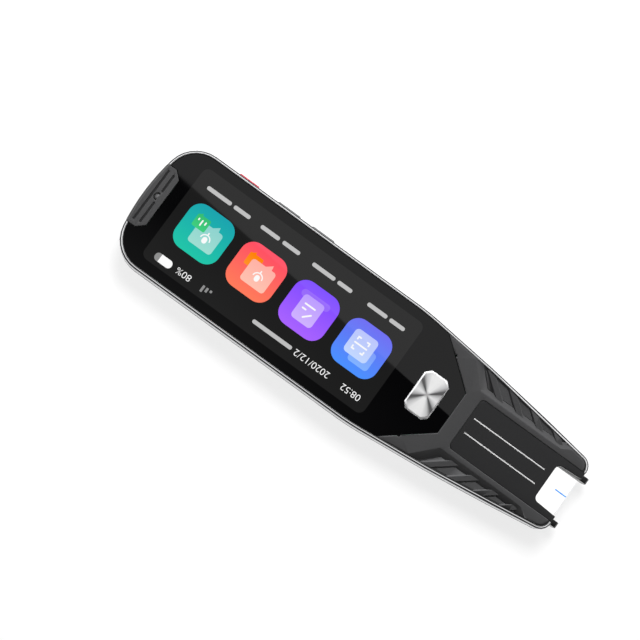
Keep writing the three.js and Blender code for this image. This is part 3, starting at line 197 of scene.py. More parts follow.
room_levels = [  # from straight down at 0, past the horizon at 0.5, to straight up at 1
    (0.0, 0.98), (0.12, 0.7), (0.3, 0.2), (0.46, 0.9), (0.5, 0.95),
    (0.565, 0.85), (0.64, 0.22), (0.86, 0.15), (0.965, 0.04), (1.0, 0.02),
]
world = bpy.data.worlds.new("studio")
bpy.context.scene.world = world
world.use_nodes = True
tree = world.node_tree
direction = add(tree, "TexCoord").outputs["Generated"]
ways = add(tree, "SeparateXYZ", {0: direction}).outputs
climb = add(tree, "MapRange", {0: ways["Z"], 1: -1.0})
room = add(tree, "ValToRGB", {0: climb.outputs[0]})
fill_ramp(room, [(place, (level, level, level, 1)) for place, level in room_levels])
# A faint glow overhead, over the port end and off the keys, lifts the black of the glass there.
toward_port = add(tree, "MapRange", {0: ways["X"], 1: -0.08, 2: 0.04})
off_the_keys = add(tree, "MapRange", {0: ways["Y"], 1: -0.125, 2: -0.08, 4: 0.2})
glow = add(
    tree, "Math", {0: toward_port.outputs[0], 1: off_the_keys.outputs[0]}, operation="MULTIPLY"
)
overhead = add(tree, "MapRange", {0: ways["Z"], 1: 0.9, 2: 0.97})
faint = add(tree, "Math", {0: glow.outputs[0], 1: overhead.outputs[0]}, operation="MULTIPLY")
sky = add(tree, "VectorMath", {0: room.outputs[0], 1: faint.outputs[0]}, operation="ADD")
tree.links.new(sky.outputs[0], tree.nodes["Background"].inputs["Color"])


def soft_box(name, place, target, size, radiance):
    lamp = bpy.data.lights.new(name, "AREA")
    lamp.shape = "RECTANGLE"
    lamp.size, lamp.size_y = size
    lamp.energy = radiance * math.pi * size[0] * size[1]
    light = bpy.data.objects.new(name, lamp)
    bpy.context.scene.collection.objects.link(light)
    light.location = place
    light.rotation_euler = (Vector(target) - Vector(place)).to_track_quat("-Z", "Y").to_euler()
    return light


pen_spot = (0, 0, 0)
soft_box("box_port_end", (0.75, 0.35, 0.62), pen_spot, size=(0.5, 0.5), radiance=0.6)
soft_box("box_tip", (-0.62, -0.5, 0.6), pen_spot, size=(0.5, 0.5), radiance=0.5)
low_key = soft_box("low_key", (0.48, -0.84, 0.27), pen_spot, size=(0.45, 0.36), radiance=47)
low_key.visible_glossy = False  # it leaves no glare and no shadow
low_key.data.use_shadow = False
floor_lamp = soft_box("floor_lamp", (0.1, -0.26, 0.56), pen_spot, size=(0.26, 0.26), radiance=18)
floor_only = bpy.data.collections.new("floor_only")
floor_only.objects.link(table)
floor_lamp.light_linking.receiver_collection = floor_only  # it draws the soft shadow
gleam_turn = math.radians(-5.7)
gleam = soft_box("pale_card", (-0.004, -0.3805, 0.6), pen_spot, size=(0.9, 0.6), radiance=0.55)
gleam.rotation_euler = (0, 0, gleam_turn)  # it hangs level, with its edge turned a little


# Back shell. One moulding in glass-filled ABS, sprayed in a gunmetal paint with fine metal flake
# under a satin lacquer: it glints in points and is a little darker in patches, and its edges are
# slightly soft.
def at(tree, turn=(0, 0, 0), centre=(0, 0, 0)):
    place = add(tree, "TexCoord").outputs["Object"]
    moved = add(tree, "VectorMath", {0: place, 1: centre}, operation="SUBTRACT")
    return add(tree, "Mapping", {"Vector": moved.outputs[0], "Rotation": turn}).outputs[0]


smooth_up_to = math.radians(32)  # a keener bend than this is drawn as an edge


def shown(bm, name, body, finish):
    mesh = bpy.data.meshes.new(name)
    bm.to_mesh(mesh)
    bm.free()
    mesh.materials.append(finish)
    mesh.shade_smooth()
    mesh.set_sharp_from_angle(angle=smooth_up_to)
    piece = bpy.data.objects.new(name, mesh)
    bpy.context.scene.collection.objects.link(piece)
    evener = piece.modifiers.new("even_light", "WEIGHTED_NORMAL")
    evener.keep_sharp = True
    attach(piece, body)
    return piece


same_point, flat_bend, edge_bend = 0.0005 * MM, math.radians(1), math.radians(30)


def softened(node, name, rounding, finish, keenest=115):
    """Shows a copy of a CAD node, its edges rounded by mm up to the keenest bend in degrees."""
    bm = bmesh.new()
    bm.from_mesh(frame["nodes"][node].data)
    bmesh.ops.remove_doubles(bm, verts=bm.verts, dist=same_point)
    bmesh.ops.dissolve_limit(bm, angle_limit=flat_bend, verts=bm.verts, edges=bm.edges)
    bmesh.ops.triangulate(bm, faces=bm.faces, quad_method="BEAUTY", ngon_method="BEAUTY")
    edges = [e for e in bm.edges if edge_bend < e.calc_face_angle() < math.radians(keenest)]
    bmesh.ops.bevel(
        bm, geom=edges, offset=rounding * MM, offset_type="OFFSET", affect="EDGES",
        segments=2, profile=0.5, clamp_overlap=False, material=-1,
    )
    piece = shown(bm, name, frame["nodes"][node]["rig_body"], finish)
    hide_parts(node)
    return piece


gunmetal, flake_size = "#7b7c7e", 0.22 * MM  # real flake is finer: it is this coarse to show
paint, tree, shader = finish_of(
    "gunmetal_lacquer", gunmetal, 0.33, 0.72, Coat_Weight=0.25, Coat_Roughness=0.18
)
flake = add(tree, "TexVoronoi", {"Vector": at(tree), "Scale": 1 / flake_size})
cloud = add(tree, "TexNoise", {"Vector": at(tree), "Scale": 1 / (14 * MM), "Detail": 3})
glint = add(tree, "MapRange", {0: flake.outputs["Color"], 3: 0.9, 4: 1.12})
shade = add(tree, "MapRange", {0: cloud.outputs[0], 1: 0.3, 2: 0.7, 3: 0.95, 4: 1.05})
both = add(tree, "Math", {0: glint.outputs[0], 1: shade.outputs[0]}, operation="MULTIPLY")
tint = add(tree, "VectorMath", {0: linear(gunmetal)[:3], 3: both.outputs[0]}, operation="SCALE")
tree.links.new(tint.outputs[0], shader.inputs["Base Color"])
peel = add(tree, "TexNoise", {"Vector": at(tree), "Scale": 1 / (0.6 * MM), "Detail": 2})
bump = add(tree, "Bump", {"Height": peel.outputs[0], "Strength": 0.08, "Distance": 0.04 * MM})
tree.links.new(bump.outputs[0], shader.inputs["Normal"])
softened("back_shell", "painted_back", 0.14, paint)


# Camera plate. A thin aluminium sheet, bead-blasted and anodised dark grey, pressed into its bed
# and bent up round the port end; the blasting leaves a fine, even, matt speckle, drawn a little
# coarser than it is.
plate_grey, grit_size = "#4b4b4c", 0.16 * MM
blasted, tree, shader = finish_of("beadblasted_dark_anodise", plate_grey, 0.52, 0.45)
grit = add(tree, "TexNoise", {
    "Vector": at(tree), "Scale": 1 / grit_size, "Detail": 2, "Roughness": 0.7,
})
speck = add(tree, "MapRange", {0: grit.outputs[0], 1: 0.35, 2: 0.65, 3: 0.72, 4: 1.28})
tint = add(tree, "VectorMath", {0: linear(plate_grey)[:3], 3: speck.outputs[0]}, operation="SCALE")
tree.links.new(tint.outputs[0], shader.inputs["Base Color"])
bump = add(tree, "Bump", {"Height": grit.outputs[0], "Strength": 0.35, "Distance": 0.03 * MM})
tree.links.new(bump.outputs[0], shader.inputs["Normal"])
softened("camera_plate", "blasted_plate", 0.1, blasted)


# Camera. A cone of black anodised aluminium, turned with fine rings that catch a bluish light,
# round a small coated lens with its own dark ring; both are glued in from inside the plate.
camera_centre = sum(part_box("camera_bezel"), Vector()) / 2
camera_axis = (camera_centre.x, camera_centre.y, 0)
ring_width = 0.36 * MM  # the rings repeat every pi times this, coarser than real ones, to show
turned, tree, shader = finish_of("turned_black_anodise", "#0b0c10", 0.24, 0.7, Anisotropic=0.6)
rings = add(tree, "TexWave", {
    "Vector": at(tree, centre=camera_axis), "Scale": 1 / ring_width / 10, "Distortion": 0.2,
}, wave_type="RINGS", rings_direction="Z")
ringed = add(tree, "MapRange", {0: rings.outputs["Fac"], 3: 0.2, 4: 0.34})
tree.links.new(ringed.outputs[0], shader.inputs["Roughness"])
bump = add(tree, "Bump", {"Height": rings.outputs["Fac"], "Strength": 0.15, "Distance": 0.04 * MM})
tree.links.new(bump.outputs[0], shader.inputs["Normal"])
softened("camera_bezel", "turned_cone", 0.03, turned)

# The lens's coating is shown by a painted reflection in its colour: a violet spot and a blue ring
# in nearly black glass.
painted_coating_reflection = [
    (0.0, "#2a1c3c"), (0.22, "#8f7fd8"), (0.34, "#241a38"),
    (0.5, "#2d3157"), (0.62, "#08080c"), (1.0, "#0c0d12"),
]
coated, tree, shader = finish_of(
    "coated_lens_glass", "#16131f", 0.04, 0.0, Coat_Weight=1.0, Coat_Roughness=0.02
)
out = add(tree, "VectorMath", {0: at(tree, centre=camera_axis), 1: (1, 1, 0)}, operation="MULTIPLY")
radius = add(tree, "VectorMath", {0: out.outputs[0]}, operation="LENGTH")
lens_radius = (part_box("camera_lens")[1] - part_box("camera_lens")[0]).x / 2
share = add(tree, "MapRange", {0: radius.outputs["Value"], 2: lens_radius})
painted_ring_reflection = add(tree, "ValToRGB", {0: share.outputs[0]})
fill_ramp(painted_ring_reflection, [(place, linear(colour)) for place, colour in painted_coating_reflection])
tree.links.new(painted_ring_reflection.outputs[0], shader.inputs["Base Color"])
softened("camera_lens", "coated_lens", 0.03, coated)


# Metal frame. Zinc alloy, die-cast and plated: its side wall is satin, with fine lines along it,
# the chamfer that frames the glass is polished, with a painted highlight above one painted dark
# line of shade, and the inner walls behind the cover are painted dark as shade.
satin_grey = "#c9cacc"
satin, tree, shader = finish_of("satin_plated_zinc", satin_grey, 0.24, 1.0)
place = add(tree, "TexCoord").outputs["Object"]
level = add(tree, "SeparateXYZ", {0: place}).outputs["Z"]
chamfer_foot = 13.2 * MM
line_low, line_full = chamfer_foot - 0.35 * MM, chamfer_foot + 0.2 * MM
polish_low, polish_full = chamfer_foot + 0.5 * MM, chamfer_foot + 0.56 * MM
faces_out, faces_in = 6 * MM, 3 * MM
# Painted highlight: from a little above the chamfer's foot upwards the colour is drawn near white,
# and the roughness drops to that of polish.
polish_and_painted_highlight = add(tree, "MapRange", {0: level, 1: polish_low, 2: polish_full})
lines = add(tree, "TexNoise", {
    "Vector": add(tree, "Mapping", {"Vector": place, "Scale": (0.04, 0.04, 1)}).outputs[0],
    "Scale": 1 / (0.1 * MM), "Detail": 3,
})
worn = add(tree, "MapRange", {0: lines.outputs[0], 1: 0.3, 2: 0.7, 3: 0.2, 4: 0.34})
rough = add(tree, "Mix", {0: polish_and_painted_highlight.outputs[0], 2: worn.outputs[0], 3: 0.07})
tree.links.new(rough.outputs[0], shader.inputs["Roughness"])
# Painted shade: a dark line is drawn round the foot of the chamfer.
from_below = add(tree, "MapRange", {0: level, 1: line_low, 2: line_full})
from_above = add(tree, "MapRange", {0: level, 1: polish_full, 2: polish_low})
dark_line_painted_shade = add(
    tree, "Math", {0: from_below.outputs[0], 1: from_above.outputs[0]}, operation="MULTIPLY"
)
chamfer_painted_highlight = add(tree, "Mix", {
    0: polish_and_painted_highlight.outputs[0], 6: linear(satin_grey), 7: linear("#f0f0f1"),
}, data_type="RGBA")
tint = add(tree, "Mix", {
    0: dark_line_painted_shade.outputs[0], 6: chamfer_painted_highlight.outputs[2], 7: linear("#2c2c2e"),
}, data_type="RGBA")
# Painted shade: walls that face into the pen, below the chamfer's foot, are drawn dark and not
# metallic.
facing = add(tree, "NewGeometry").outputs["True Normal"]
flat_way = add(tree, "VectorMath", {0: place, 1: (1, 1, 0)}, operation="MULTIPLY")
outward = add(tree, "VectorMath", {0: facing, 1: flat_way.outputs[0]}, operation="DOT_PRODUCT")
inward = add(tree, "MapRange", {0: outward.outputs["Value"], 1: faces_out, 2: faces_in})
deep = add(tree, "MapRange", {0: level, 1: chamfer_foot, 2: chamfer_foot - 0.2 * MM})
inner = add(tree, "Math", {0: inward.outputs[0], 1: deep.outputs[0]}, operation="MULTIPLY")
inner_wall_painted_shade = add(tree, "Mix", {
    0: inner.outputs[0], 6: tint.outputs[2], 7: linear("#2b2b2c"),
}, data_type="RGBA")
metallic_outside_painted_shade = add(tree, "Math", {0: 1.0, 1: inner.outputs[0]}, operation="SUBTRACT")
tree.links.new(metallic_outside_painted_shade.outputs[0], shader.inputs["Metallic"])
tree.links.new(inner_wall_painted_shade.outputs[2], shader.inputs["Base Color"])
bump = add(tree, "Bump", {"Height": lines.outputs[0], "Strength": 0.03, "Distance": 0.04 * MM})
tree.links.new(bump.outputs[0], shader.inputs["Normal"])
softened("mid_frame", "satin_frame", 0.12, satin)


# Front cover of the tip. Grey polycarbonate blend with a fine spark-eroded grain, clipped into the
# frame; its long edge against the glass is straight between two slanting arms.
def grained(name, colour, roughness, grain_size, depth, spread):
    """A moulded plastic with a grain of a size in mm, whose shade drifts by the spread."""
    material, tree, shader = finish_of(name, colour, roughness)
    grain = add(tree, "TexNoise", {
        "Vector": at(tree), "Scale": 1 / (grain_size * MM), "Detail": 2,
    })
    cloud = add(tree, "TexNoise", {"Vector": at(tree), "Scale": 1 / (9 * MM), "Detail": 2})
    mixed = add(tree, "Math", {0: grain.outputs[0], 1: cloud.outputs[0]}, operation="ADD")
    shade = add(tree, "MapRange", {
        0: mixed.outputs[0], 1: 0.7, 2: 1.3, 3: 1 - spread, 4: 1 + spread,
    })
    tint = add(tree, "VectorMath", {0: linear(colour)[:3], 3: shade.outputs[0]}, operation="SCALE")
    tree.links.new(tint.outputs[0], shader.inputs["Base Color"])
    wear = add(tree, "MapRange", {
        0: cloud.outputs[0], 1: 0.3, 2: 0.7, 3: roughness * 0.88, 4: roughness * 1.1,
    })
    tree.links.new(wear.outputs[0], shader.inputs["Roughness"])
    bump = add(tree, "Bump", {
        "Height": grain.outputs[0], "Strength": depth, "Distance": 0.04 * MM,
    })
    tree.links.new(bump.outputs[0], shader.inputs["Normal"])
    return material


cover_plastic = grained("spark_eroded_polycarbonate", "#454546", 0.5, 0.22, 0.16, 0.05)
softened("front_cover", "grained_cover", 0.24, cover_plastic)


# Grips. Two strips of thermoplastic rubber, overmoulded in pockets of the cover, with slanted ribs
# whose flanks catch the light; the rubber is matt, and painted light makes its grooves paler.
def shade_by_height(material, start, full, strength):
    """Scales a plastic's colour by the strength, growing from one height to another."""
    tree = material.node_tree
    colour = tree.nodes["Principled BSDF"].inputs["Base Color"]
    height = add(tree, "SeparateXYZ", {0: at(tree)}).outputs["Z"]
    share = add(tree, "MapRange", {0: height, 1: start, 2: full, 3: 1.0, 4: strength})
    scaled = {0: colour.links[0].from_socket, 3: share.outputs[0]}
    tree.links.new(add(tree, "VectorMath", scaled, operation="SCALE").outputs[0], colour)


rubber = grained("moulded_grip_rubber", "#464647", 0.72, 0.3, 0.25, 0.07)
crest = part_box("left_grip")[1].z
# Painted light: below the rib tops the rubber's colour is lifted, to lighten the shade in the
# grooves.
shade_by_height(rubber, crest - 0.55 * MM, crest - 0.7 * MM, 1.25)
softened("left_grip", "ribbed_grip_left", 0.1, rubber, keenest=80)
softened("right_grip", "ribbed_grip_right", 0.1, rubber, keenest=80)


# Tip panel. Charcoal moulding with a satin paint, let into the cover and folded down round the
# notch; two thin white rules are pad-printed along it.
charcoal = grained("satin_charcoal_paint", "#252526", 0.38, 0.35, 0.06, 0.04)
softened("tip_panel", "charcoal_panel", 0.12, charcoal)

rule_start, rule_end, rule_width, rule_height = 10.75, 36.5, 0.34, 0.02
tip_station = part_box("back_shell")[0].x / MM  # where the shell's tip lies, in millimetres
print_white = grained("pad_printing_white", "#e4e4e4", 0.5, 0.3, 0.06, 0.04)
panel_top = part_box("tip_panel")[1].z
for name, across in (("upper_rule", 2.45), ("lower_rule", -2.65)):
    bm = bmesh.new()
    bmesh.ops.create_cube(bm, size=1)
    rule_size = ((rule_end - rule_start) * MM, rule_width * MM, rule_height * MM)
    bmesh.ops.scale(bm, vec=rule_size, verts=bm.verts)
    middle = ((rule_start + rule_end) / 2 + tip_station) * MM
    spot = (middle, across * MM, panel_top + rule_height * MM / 2)
    bmesh.ops.translate(bm, vec=spot, verts=bm.verts)
    ends = [e for e in bm.edges if abs(e.verts[0].co.z - e.verts[1].co.z) > rule_height * MM / 2]
    bmesh.ops.bevel(
        bm, geom=ends, offset=rule_width * MM * 0.4, offset_type="OFFSET", affect="EDGES",
        segments=3, profile=0.5, clamp_overlap=True, material=-1,
    )
    shown(bm, name, "housing", print_white)


# Scanner window under the tip. A black moulded well holds a slanted pane of smoked acrylic, brown
# and glossy with a few smears; behind it sit the scanning camera, its board and two small lamps.
black_moulding = grained("black_acetal", "#0d0d0e", 0.34, 0.25, 0.1, 0.15)
softened("window_bezel", "window_well", 0.12, black_moulding)
smoked, tree, shader = finish_of(
    "smoked_acrylic", "#5c5a58", 0.05, 0.0, Transmission_Weight=0.75, IOR=1.49
)
haze = add(tree, "TexNoise", {"Vector": at(tree), "Scale": 1 / (3 * MM), "Detail": 3})
smear = add(tree, "MapRange", {0: haze.outputs[0], 1: 0.4, 2: 0.75, 3: 0.03, 4: 0.16})
tree.links.new(smear.outputs[0], shader.inputs["Roughness"])
softened("scan_pane", "smoked_pane", 0.05, smoked)
softened("scan_camera", "scanning_camera", 0.1, black_moulding)

# The solder mask is a glossy green in which the copper tracks show paler and slightly raised.
mask_green = "#14503a"
solder_mask, tree, shader = finish_of("green_solder_mask", mask_green, 0.42, 0.0, Coat_Weight=0.3)
tracks = add(tree, "TexBrick", {
    "Vector": at(tree), "Scale": 1 / (2.4 * MM), "Mortar Size": 0.12, "Mortar Smooth": 0.3,
    "Color1": linear(mask_green), "Color2": linear("#175d44"), "Mortar": linear("#2b7a58"),
})
tree.links.new(tracks.outputs["Color"], shader.inputs["Base Color"])
bump = add(tree, "Bump", {"Height": tracks.outputs["Fac"], "Strength": 0.3, "Distance": 0.03 * MM})
tree.links.new(bump.outputs[0], shader.inputs["Normal"])
softened("scan_board", "scanner_board", 0.08, solder_mask)

# The lamps are cast in clear resin, yellow where the phosphor lies under it.
lamp_resin, tree, shader = finish_of("lamp_resin", "#f4edc2", 0.2, 0.0, Transmission_Weight=0.3)
phosphor = add(tree, "TexNoise", {"Vector": at(tree), "Scale": 1 / (0.4 * MM), "Detail": 2})
yolk = add(tree, "Mix", {
    0: phosphor.outputs[0], 6: linear("#f6efcf"), 7: linear("#e8cf6a"),
}, data_type="RGBA")
tree.links.new(yolk.outputs[2], shader.inputs["Base Color"])
softened("scan_lamp_left", "left_lamp", 0.12, lamp_resin)
softened("scan_lamp_right", "right_lamp", 0.12, lamp_resin)


# Nib. One glossy black acetal fork: two skids glide on the page, and two arms behind push against
# springs and a switch; the skids' noses are rounded and polished by use.
glide = grained("polished_acetal", "#0b0b0c", 0.2, 0.3, 0.05, 0.15)
softened("nib_frame", "sliding_fork", 0.16, glide)
softened("nib_switch", "nib_switch_case", 0.1, black_moulding)


# Aiming plate. A clear acrylic plate closes the top of the notch, so thin that it hardly shows,
# with a short blue line printed on it where the scanned line of text should pass; the ink is given
# a faint glow, a painted light.
thin_plate_ior = 1.1  # lower than acrylic's, because so thin a plate hardly bends the light
clear, tree, shader = finish_of(
    "clear_acrylic", "#ffffff", 0.03, 0.0, Transmission_Weight=1.0, IOR=thin_plate_ior
)
ripple = add(tree, "TexNoise", {"Vector": at(tree), "Scale": 1 / (4 * MM), "Detail": 1})
bump = add(tree, "Bump", {"Height": ripple.outputs[0], "Strength": 0.02, "Distance": 0.04 * MM})
tree.links.new(bump.outputs[0], shader.inputs["Normal"])
softened("aiming_window", "clear_plate", 0.06, clear)
# Painted light: the printed ink glows faintly, though it is no lamp.
blue_ink_painted_glow, tree, shader = finish_of("blue_ink_painted_glow", "#3f8ff2", 0.4, 0.0, Emission_Strength=0.35)
shader.inputs["Emission Color"].default_value = linear("#4a9cf0")
dots = add(tree, "TexNoise", {"Vector": at(tree), "Scale": 1 / (0.2 * MM), "Detail": 1})
tint = add(tree, "Mix", {
    0: dots.outputs[0], 6: linear("#3586ee"), 7: linear("#57a4f7"),
}, data_type="RGBA")
tree.links.new(tint.outputs[2], shader.inputs["Base Color"])
softened("aiming_line", "blue_aiming_line", 0.03, blue_ink_painted_glow)


# Cover glass. One sheet of hardened glass with ground edges and black printing behind it, bonded
# on foam tape; the black goes right up to the lit display, and only faint smears dull it.
glass, tree, shader = finish_of("black_backed_glass", "#030304", 0.02, 0.0, IOR=1.5)
smears = add(tree, "TexNoise", {"Vector": at(tree), "Scale": 1 / (22 * MM), "Detail": 4})
dull = add(tree, "MapRange", {0: smears.outputs[0], 1: 0.5, 2: 0.75, 3: 0.012, 4: 0.05})
tree.links.new(dull.outputs[0], shader.inputs["Roughness"])
glass_sheet = softened("cover_glass", "hardened_glass", 0.12, glass)
for face in glass_sheet.data.polygons:
    face.use_smooth = face.normal.z < 0.999  # keeps the face dead flat up to its ground edge
foam, tree, shader = finish_of("black_foam_tape", "#0a0a0b", 0.9)
cells = add(tree, "TexVoronoi", {"Vector": at(tree), "Scale": 1 / (0.15 * MM)})
bump = add(tree, "Bump", {"Height": cells.outputs[0], "Strength": 0.5, "Distance": 0.04 * MM})
tree.links.new(bump.outputs[0], shader.inputs["Normal"])


def coated_node(node, finish):
    """Leaves a hidden CAD node as it is, in its own finish."""
    for slot in frame["nodes"][node].material_slots:
        slot.material = finish


coated_node("glass_tape", foam)


# Picture on the display. The lit screen shows through the glass as if it lay on it: a dark ground,
# four tiles with plain pictograms, a clock, a date, a charge level and bars where words would be.
# Places are in millimetres from the shell's tip and its middle, and levels in layers.
glass_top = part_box("cover_glass")[1].z
layer = 0.006 * MM
ground_level, tile_level, back_level, front_level, sign_level = 1, 3, 5, 7, 9
digit_height, digit_widening, digit_thinning = 2.02, 1.06, -0.008


def screen_light(name, low_colour, high_colour=None, low_y=0, high_y=0):
    """A lit part of the screen, in one colour or changing from low_y to high_y."""
    material, tree, shader = finish_of(name, "#000000", 0.02, 0.0, IOR=1.5, Emission_Strength=1.0)
    shader.inputs["Emission Color"].default_value = linear(low_colour)
    if high_colour:
        y = add(tree, "SeparateXYZ", {0: add(tree, "TexCoord").outputs["Object"]}).outputs["Y"]
        share = add(tree, "MapRange", {0: y, 1: low_y * MM, 2: high_y * MM})
        blend = add(tree, "Mix", {
            0: share.outputs[0], 6: linear(low_colour), 7: linear(high_colour),
        }, data_type="RGBA")
        tree.links.new(blend.outputs[2], shader.inputs["Emission Color"])
    return material


def plate_on_screen(name, centre, size, corner, level, finish, segments=8, more=(), cut_at=None):
    bm = bmesh.new()
    for (x, y), (length, width), radius in [(centre, size, corner), *more]:
        made = bmesh.ops.create_grid(bm, x_segments=1, y_segments=1, size=0.5)["verts"]
        bmesh.ops.scale(bm, vec=(length * MM, width * MM, 1), verts=made)
        bmesh.ops.translate(
            bm, vec=((x + tip_station) * MM, y * MM, glass_top + level * layer), verts=made
        )
        bmesh.ops.bevel(
            bm, geom=made, offset=radius * MM, offset_type="OFFSET", affect="VERTICES",
            segments=segments, profile=0.5, clamp_overlap=True, material=-1,
        )
    if cut_at:
        everything = [*bm.verts, *bm.edges, *bm.faces]
        edge_spot = ((cut_at + tip_station) * MM, 0, 0)
        bmesh.ops.bisect_plane(
            bm, geom=everything, plane_co=edge_spot, plane_no=(1, 0, 0), clear_outer=True
        )
    bmesh.ops.solidify(bm, geom=list(bm.faces), thickness=layer)
    return shown(bm, name, "housing", finish)


def bars_on_screen(name, bars, level, finish, corner):
    (x, y, length, width), *others = bars
    more = [((a, b), (c, d), corner) for a, b, c, d in others]
    plate_on_screen(name, (x, y), (length, width), corner, level, finish, segments=4, more=more)


def digits_on_screen(name, digits, left, foot, height, level, finish):
    letters = bpy.data.curves.new(name, "FONT")
    letters.body = digits
    letters.offset = digit_thinning
    letters.extrude = layer / height / MM / 2
    holder = bpy.data.objects.new(name + "_outline", letters)
    bm = bmesh.new()
    bm.from_mesh(bpy.data.meshes.new_from_object(holder))
    bpy.data.objects.remove(holder)
    bmesh.ops.remove_doubles(bm, verts=bm.verts, dist=0.0001)
    low = Vector([min(v.co[i] for v in bm.verts) for i in range(3)])
    high = Vector([max(v.co[i] for v in bm.verts) for i in range(3)])
    bmesh.ops.translate(bm, vec=(-low.x, -low.y, -(low.z + high.z) / 2), verts=bm.verts)
    fit = height * MM / (high.y - low.y)
    bmesh.ops.scale(bm, vec=(fit * digit_widening, fit, fit), verts=bm.verts)
    place = ((left + tip_station) * MM, foot * MM, glass_top + level * layer)
    bmesh.ops.translate(bm, vec=place, verts=bm.verts)
    return shown(bm, name, "housing", finish)


def stroke(bm, start, end, width, level, corner_share=0.45):
    span = Vector(end) - Vector(start)
    made = bmesh.ops.create_grid(bm, x_segments=1, y_segments=1, size=0.5)["verts"]
    bmesh.ops.scale(bm, vec=(span.length * MM, width * MM, 1), verts=made)
    turn = Matrix.Rotation(math.atan2(span.y, span.x), 3, "Z")
    bmesh.ops.rotate(bm, cent=(0, 0, 0), matrix=turn, verts=made)
    middle = (Vector(start) + Vector(end)) / 2
    spot = ((middle.x + tip_station) * MM, middle.y * MM, glass_top + level * layer)
    bmesh.ops.translate(bm, vec=spot, verts=made)
    bmesh.ops.bevel(
        bm, geom=made, offset=width * MM * corner_share, offset_type="OFFSET", affect="VERTICES",
        segments=3, profile=0.5, clamp_overlap=True, material=-1,
    )


def strokes_on_screen(name, strokes, width, level, finish):
    bm = bmesh.new()
    for start, end in strokes:
        stroke(bm, start, end, width, level)
    bmesh.ops.solidify(bm, geom=list(bm.faces), thickness=layer)
    return shown(bm, name, "housing", finish)


def bubble(name, centre, size, corner, tail, level, finish):
    (x, y), (length, width) = centre, size
    bm = bmesh.new()
    made = bmesh.ops.create_grid(bm, x_segments=1, y_segments=1, size=0.5)["verts"]
    bmesh.ops.scale(bm, vec=(length * MM, width * MM, 1), verts=made)
    bmesh.ops.bevel(
        bm, geom=made, offset=corner * MM, offset_type="OFFSET", affect="VERTICES",
        segments=6, profile=0.5, clamp_overlap=True, material=-1,
    )
    foot = min(bm.edges, key=lambda e: (e.verts[0].co + e.verts[1].co).y)
    tail_start, tail_length, tail_drop = tail
    cuts = bmesh.ops.subdivide_edges(bm, edges=[foot], cuts=3)["geom_inner"]
    corners = sorted((v for v in cuts if isinstance(v, bmesh.types.BMVert)), key=lambda v: v.co.x)
    for corner_vert, along in zip(corners, (tail_start, tail_start, tail_start + tail_length)):
        corner_vert.co.x = (along - length / 2) * MM
    corners[1].co.y -= tail_drop * MM
    corners[1].co.x += tail_length * 0.12 * MM
    spot = ((x + tip_station) * MM, y * MM, glass_top + level * layer)
    bmesh.ops.translate(bm, vec=spot, verts=bm.verts)
    bmesh.ops.solidify(bm, geom=list(bm.faces), thickness=layer)
    return shown(bm, name, "housing", finish)


def microphone(name, centre, level, finish):
    x, y = centre
    bm = bmesh.new()
    stroke(bm, (x, y - 0.85), (x, y + 1.25), 1.55, level, corner_share=0.49)
    bmesh.ops.solidify(bm, geom=list(bm.faces), thickness=layer)
    spot = Vector(((x + tip_station) * MM, y * MM, glass_top + level * layer - layer / 2))
    inner, outer = 1.35, 1.7  # reach of the open ring round the microphone's body
    rim = [
        bm.verts.new(spot + Vector((reach * MM, 0, rise * layer)))
        for reach, rise in ((inner, -0.5), (outer, -0.5), (outer, 0.5), (inner, 0.5))
    ]
    section = bm.faces.new(rim)
    bmesh.ops.spin(
        bm, geom=[section], cent=spot, axis=(0, 0, 1), angle=-math.pi, steps=16, use_merge=False,
    )
    foot = Matrix.Translation(spot + Vector((0, -2.05 * MM, 0)))
    foot_size = Matrix.Diagonal((0.4 * MM, 0.7 * MM, layer, 1))
    bmesh.ops.create_cube(bm, size=1, matrix=foot @ foot_size)
    bmesh.ops.recalc_face_normals(bm, faces=bm.faces)
    return shown(bm, name, "housing", finish)


ground_light = screen_light("screen_ground", "#1b1b1b")
plate_on_screen("screen_picture", (104.35, -0.1), (80.3, 33), 2.2, ground_level, ground_light)
tiles = [
    ("scan_tile", 75.6, "#6a68f0", "#4a90ff"),
    ("page_tile", 94.8, "#7a48ff", "#a862ff"),
    ("speech_tile", 114.0, "#ff4a64", "#ff7a5a"),
    ("record_tile", 133.2, "#1ba3af", "#1fc5a8"),
]
tile_length, tile_width, tile_corner, tile_y = 15.6, 15.2, 4.2, 0.2
for name, x, low_colour, high_colour in tiles:
    light = screen_light(name + "_light", low_colour, high_colour, -tile_width / 2, tile_width / 2)
    plate_on_screen(name, (x, tile_y), (tile_length, tile_width), tile_corner, tile_level, light)

white = screen_light("screen_white", "#fbfbfb")
soft_white = screen_light("screen_soft_white", "#bdbdbd")
grey = screen_light("screen_grey", "#8e8e8e")

sheet_behind = screen_light("sheet_behind_light", "#7f9dfa", "#82b2ff", -1, 5)
sheet_before = screen_light("sheet_before_light", "#b9c2fa", "#c3d8ff", -4.4, 3.6)
plate_on_screen("scan_sheet_behind", (74.05, 2.25), (7.1, 6.0), 1.1, back_level, sheet_behind)
plate_on_screen("scan_sheet", (76.15, -0.3), (8.1, 8.0), 1.3, front_level, sheet_before)
half, arm, thick = 2.2, 1.25, 0.5
edge, end_of_arm, overhang = half - thick / 2, half - arm, 0.1
corners = [(sx, sy) for sx in (-1, 1) for sy in (-1, 1)]
brackets = [((sx * half, sy * edge), (sx * end_of_arm, sy * edge)) for sx, sy in corners]
brackets += [((sx * edge, sy * (half - thick)), (sx * edge, sy * end_of_arm)) for sx, sy in corners]
brackets += [((-half - overhang, 0), (half + overhang, 0))]
scan_middle = Vector((76.3, -0.3))
brackets = [(scan_middle + Vector(start), scan_middle + Vector(end)) for start, end in brackets]
strokes_on_screen("scan_brackets", brackets, thick, sign_level, white)

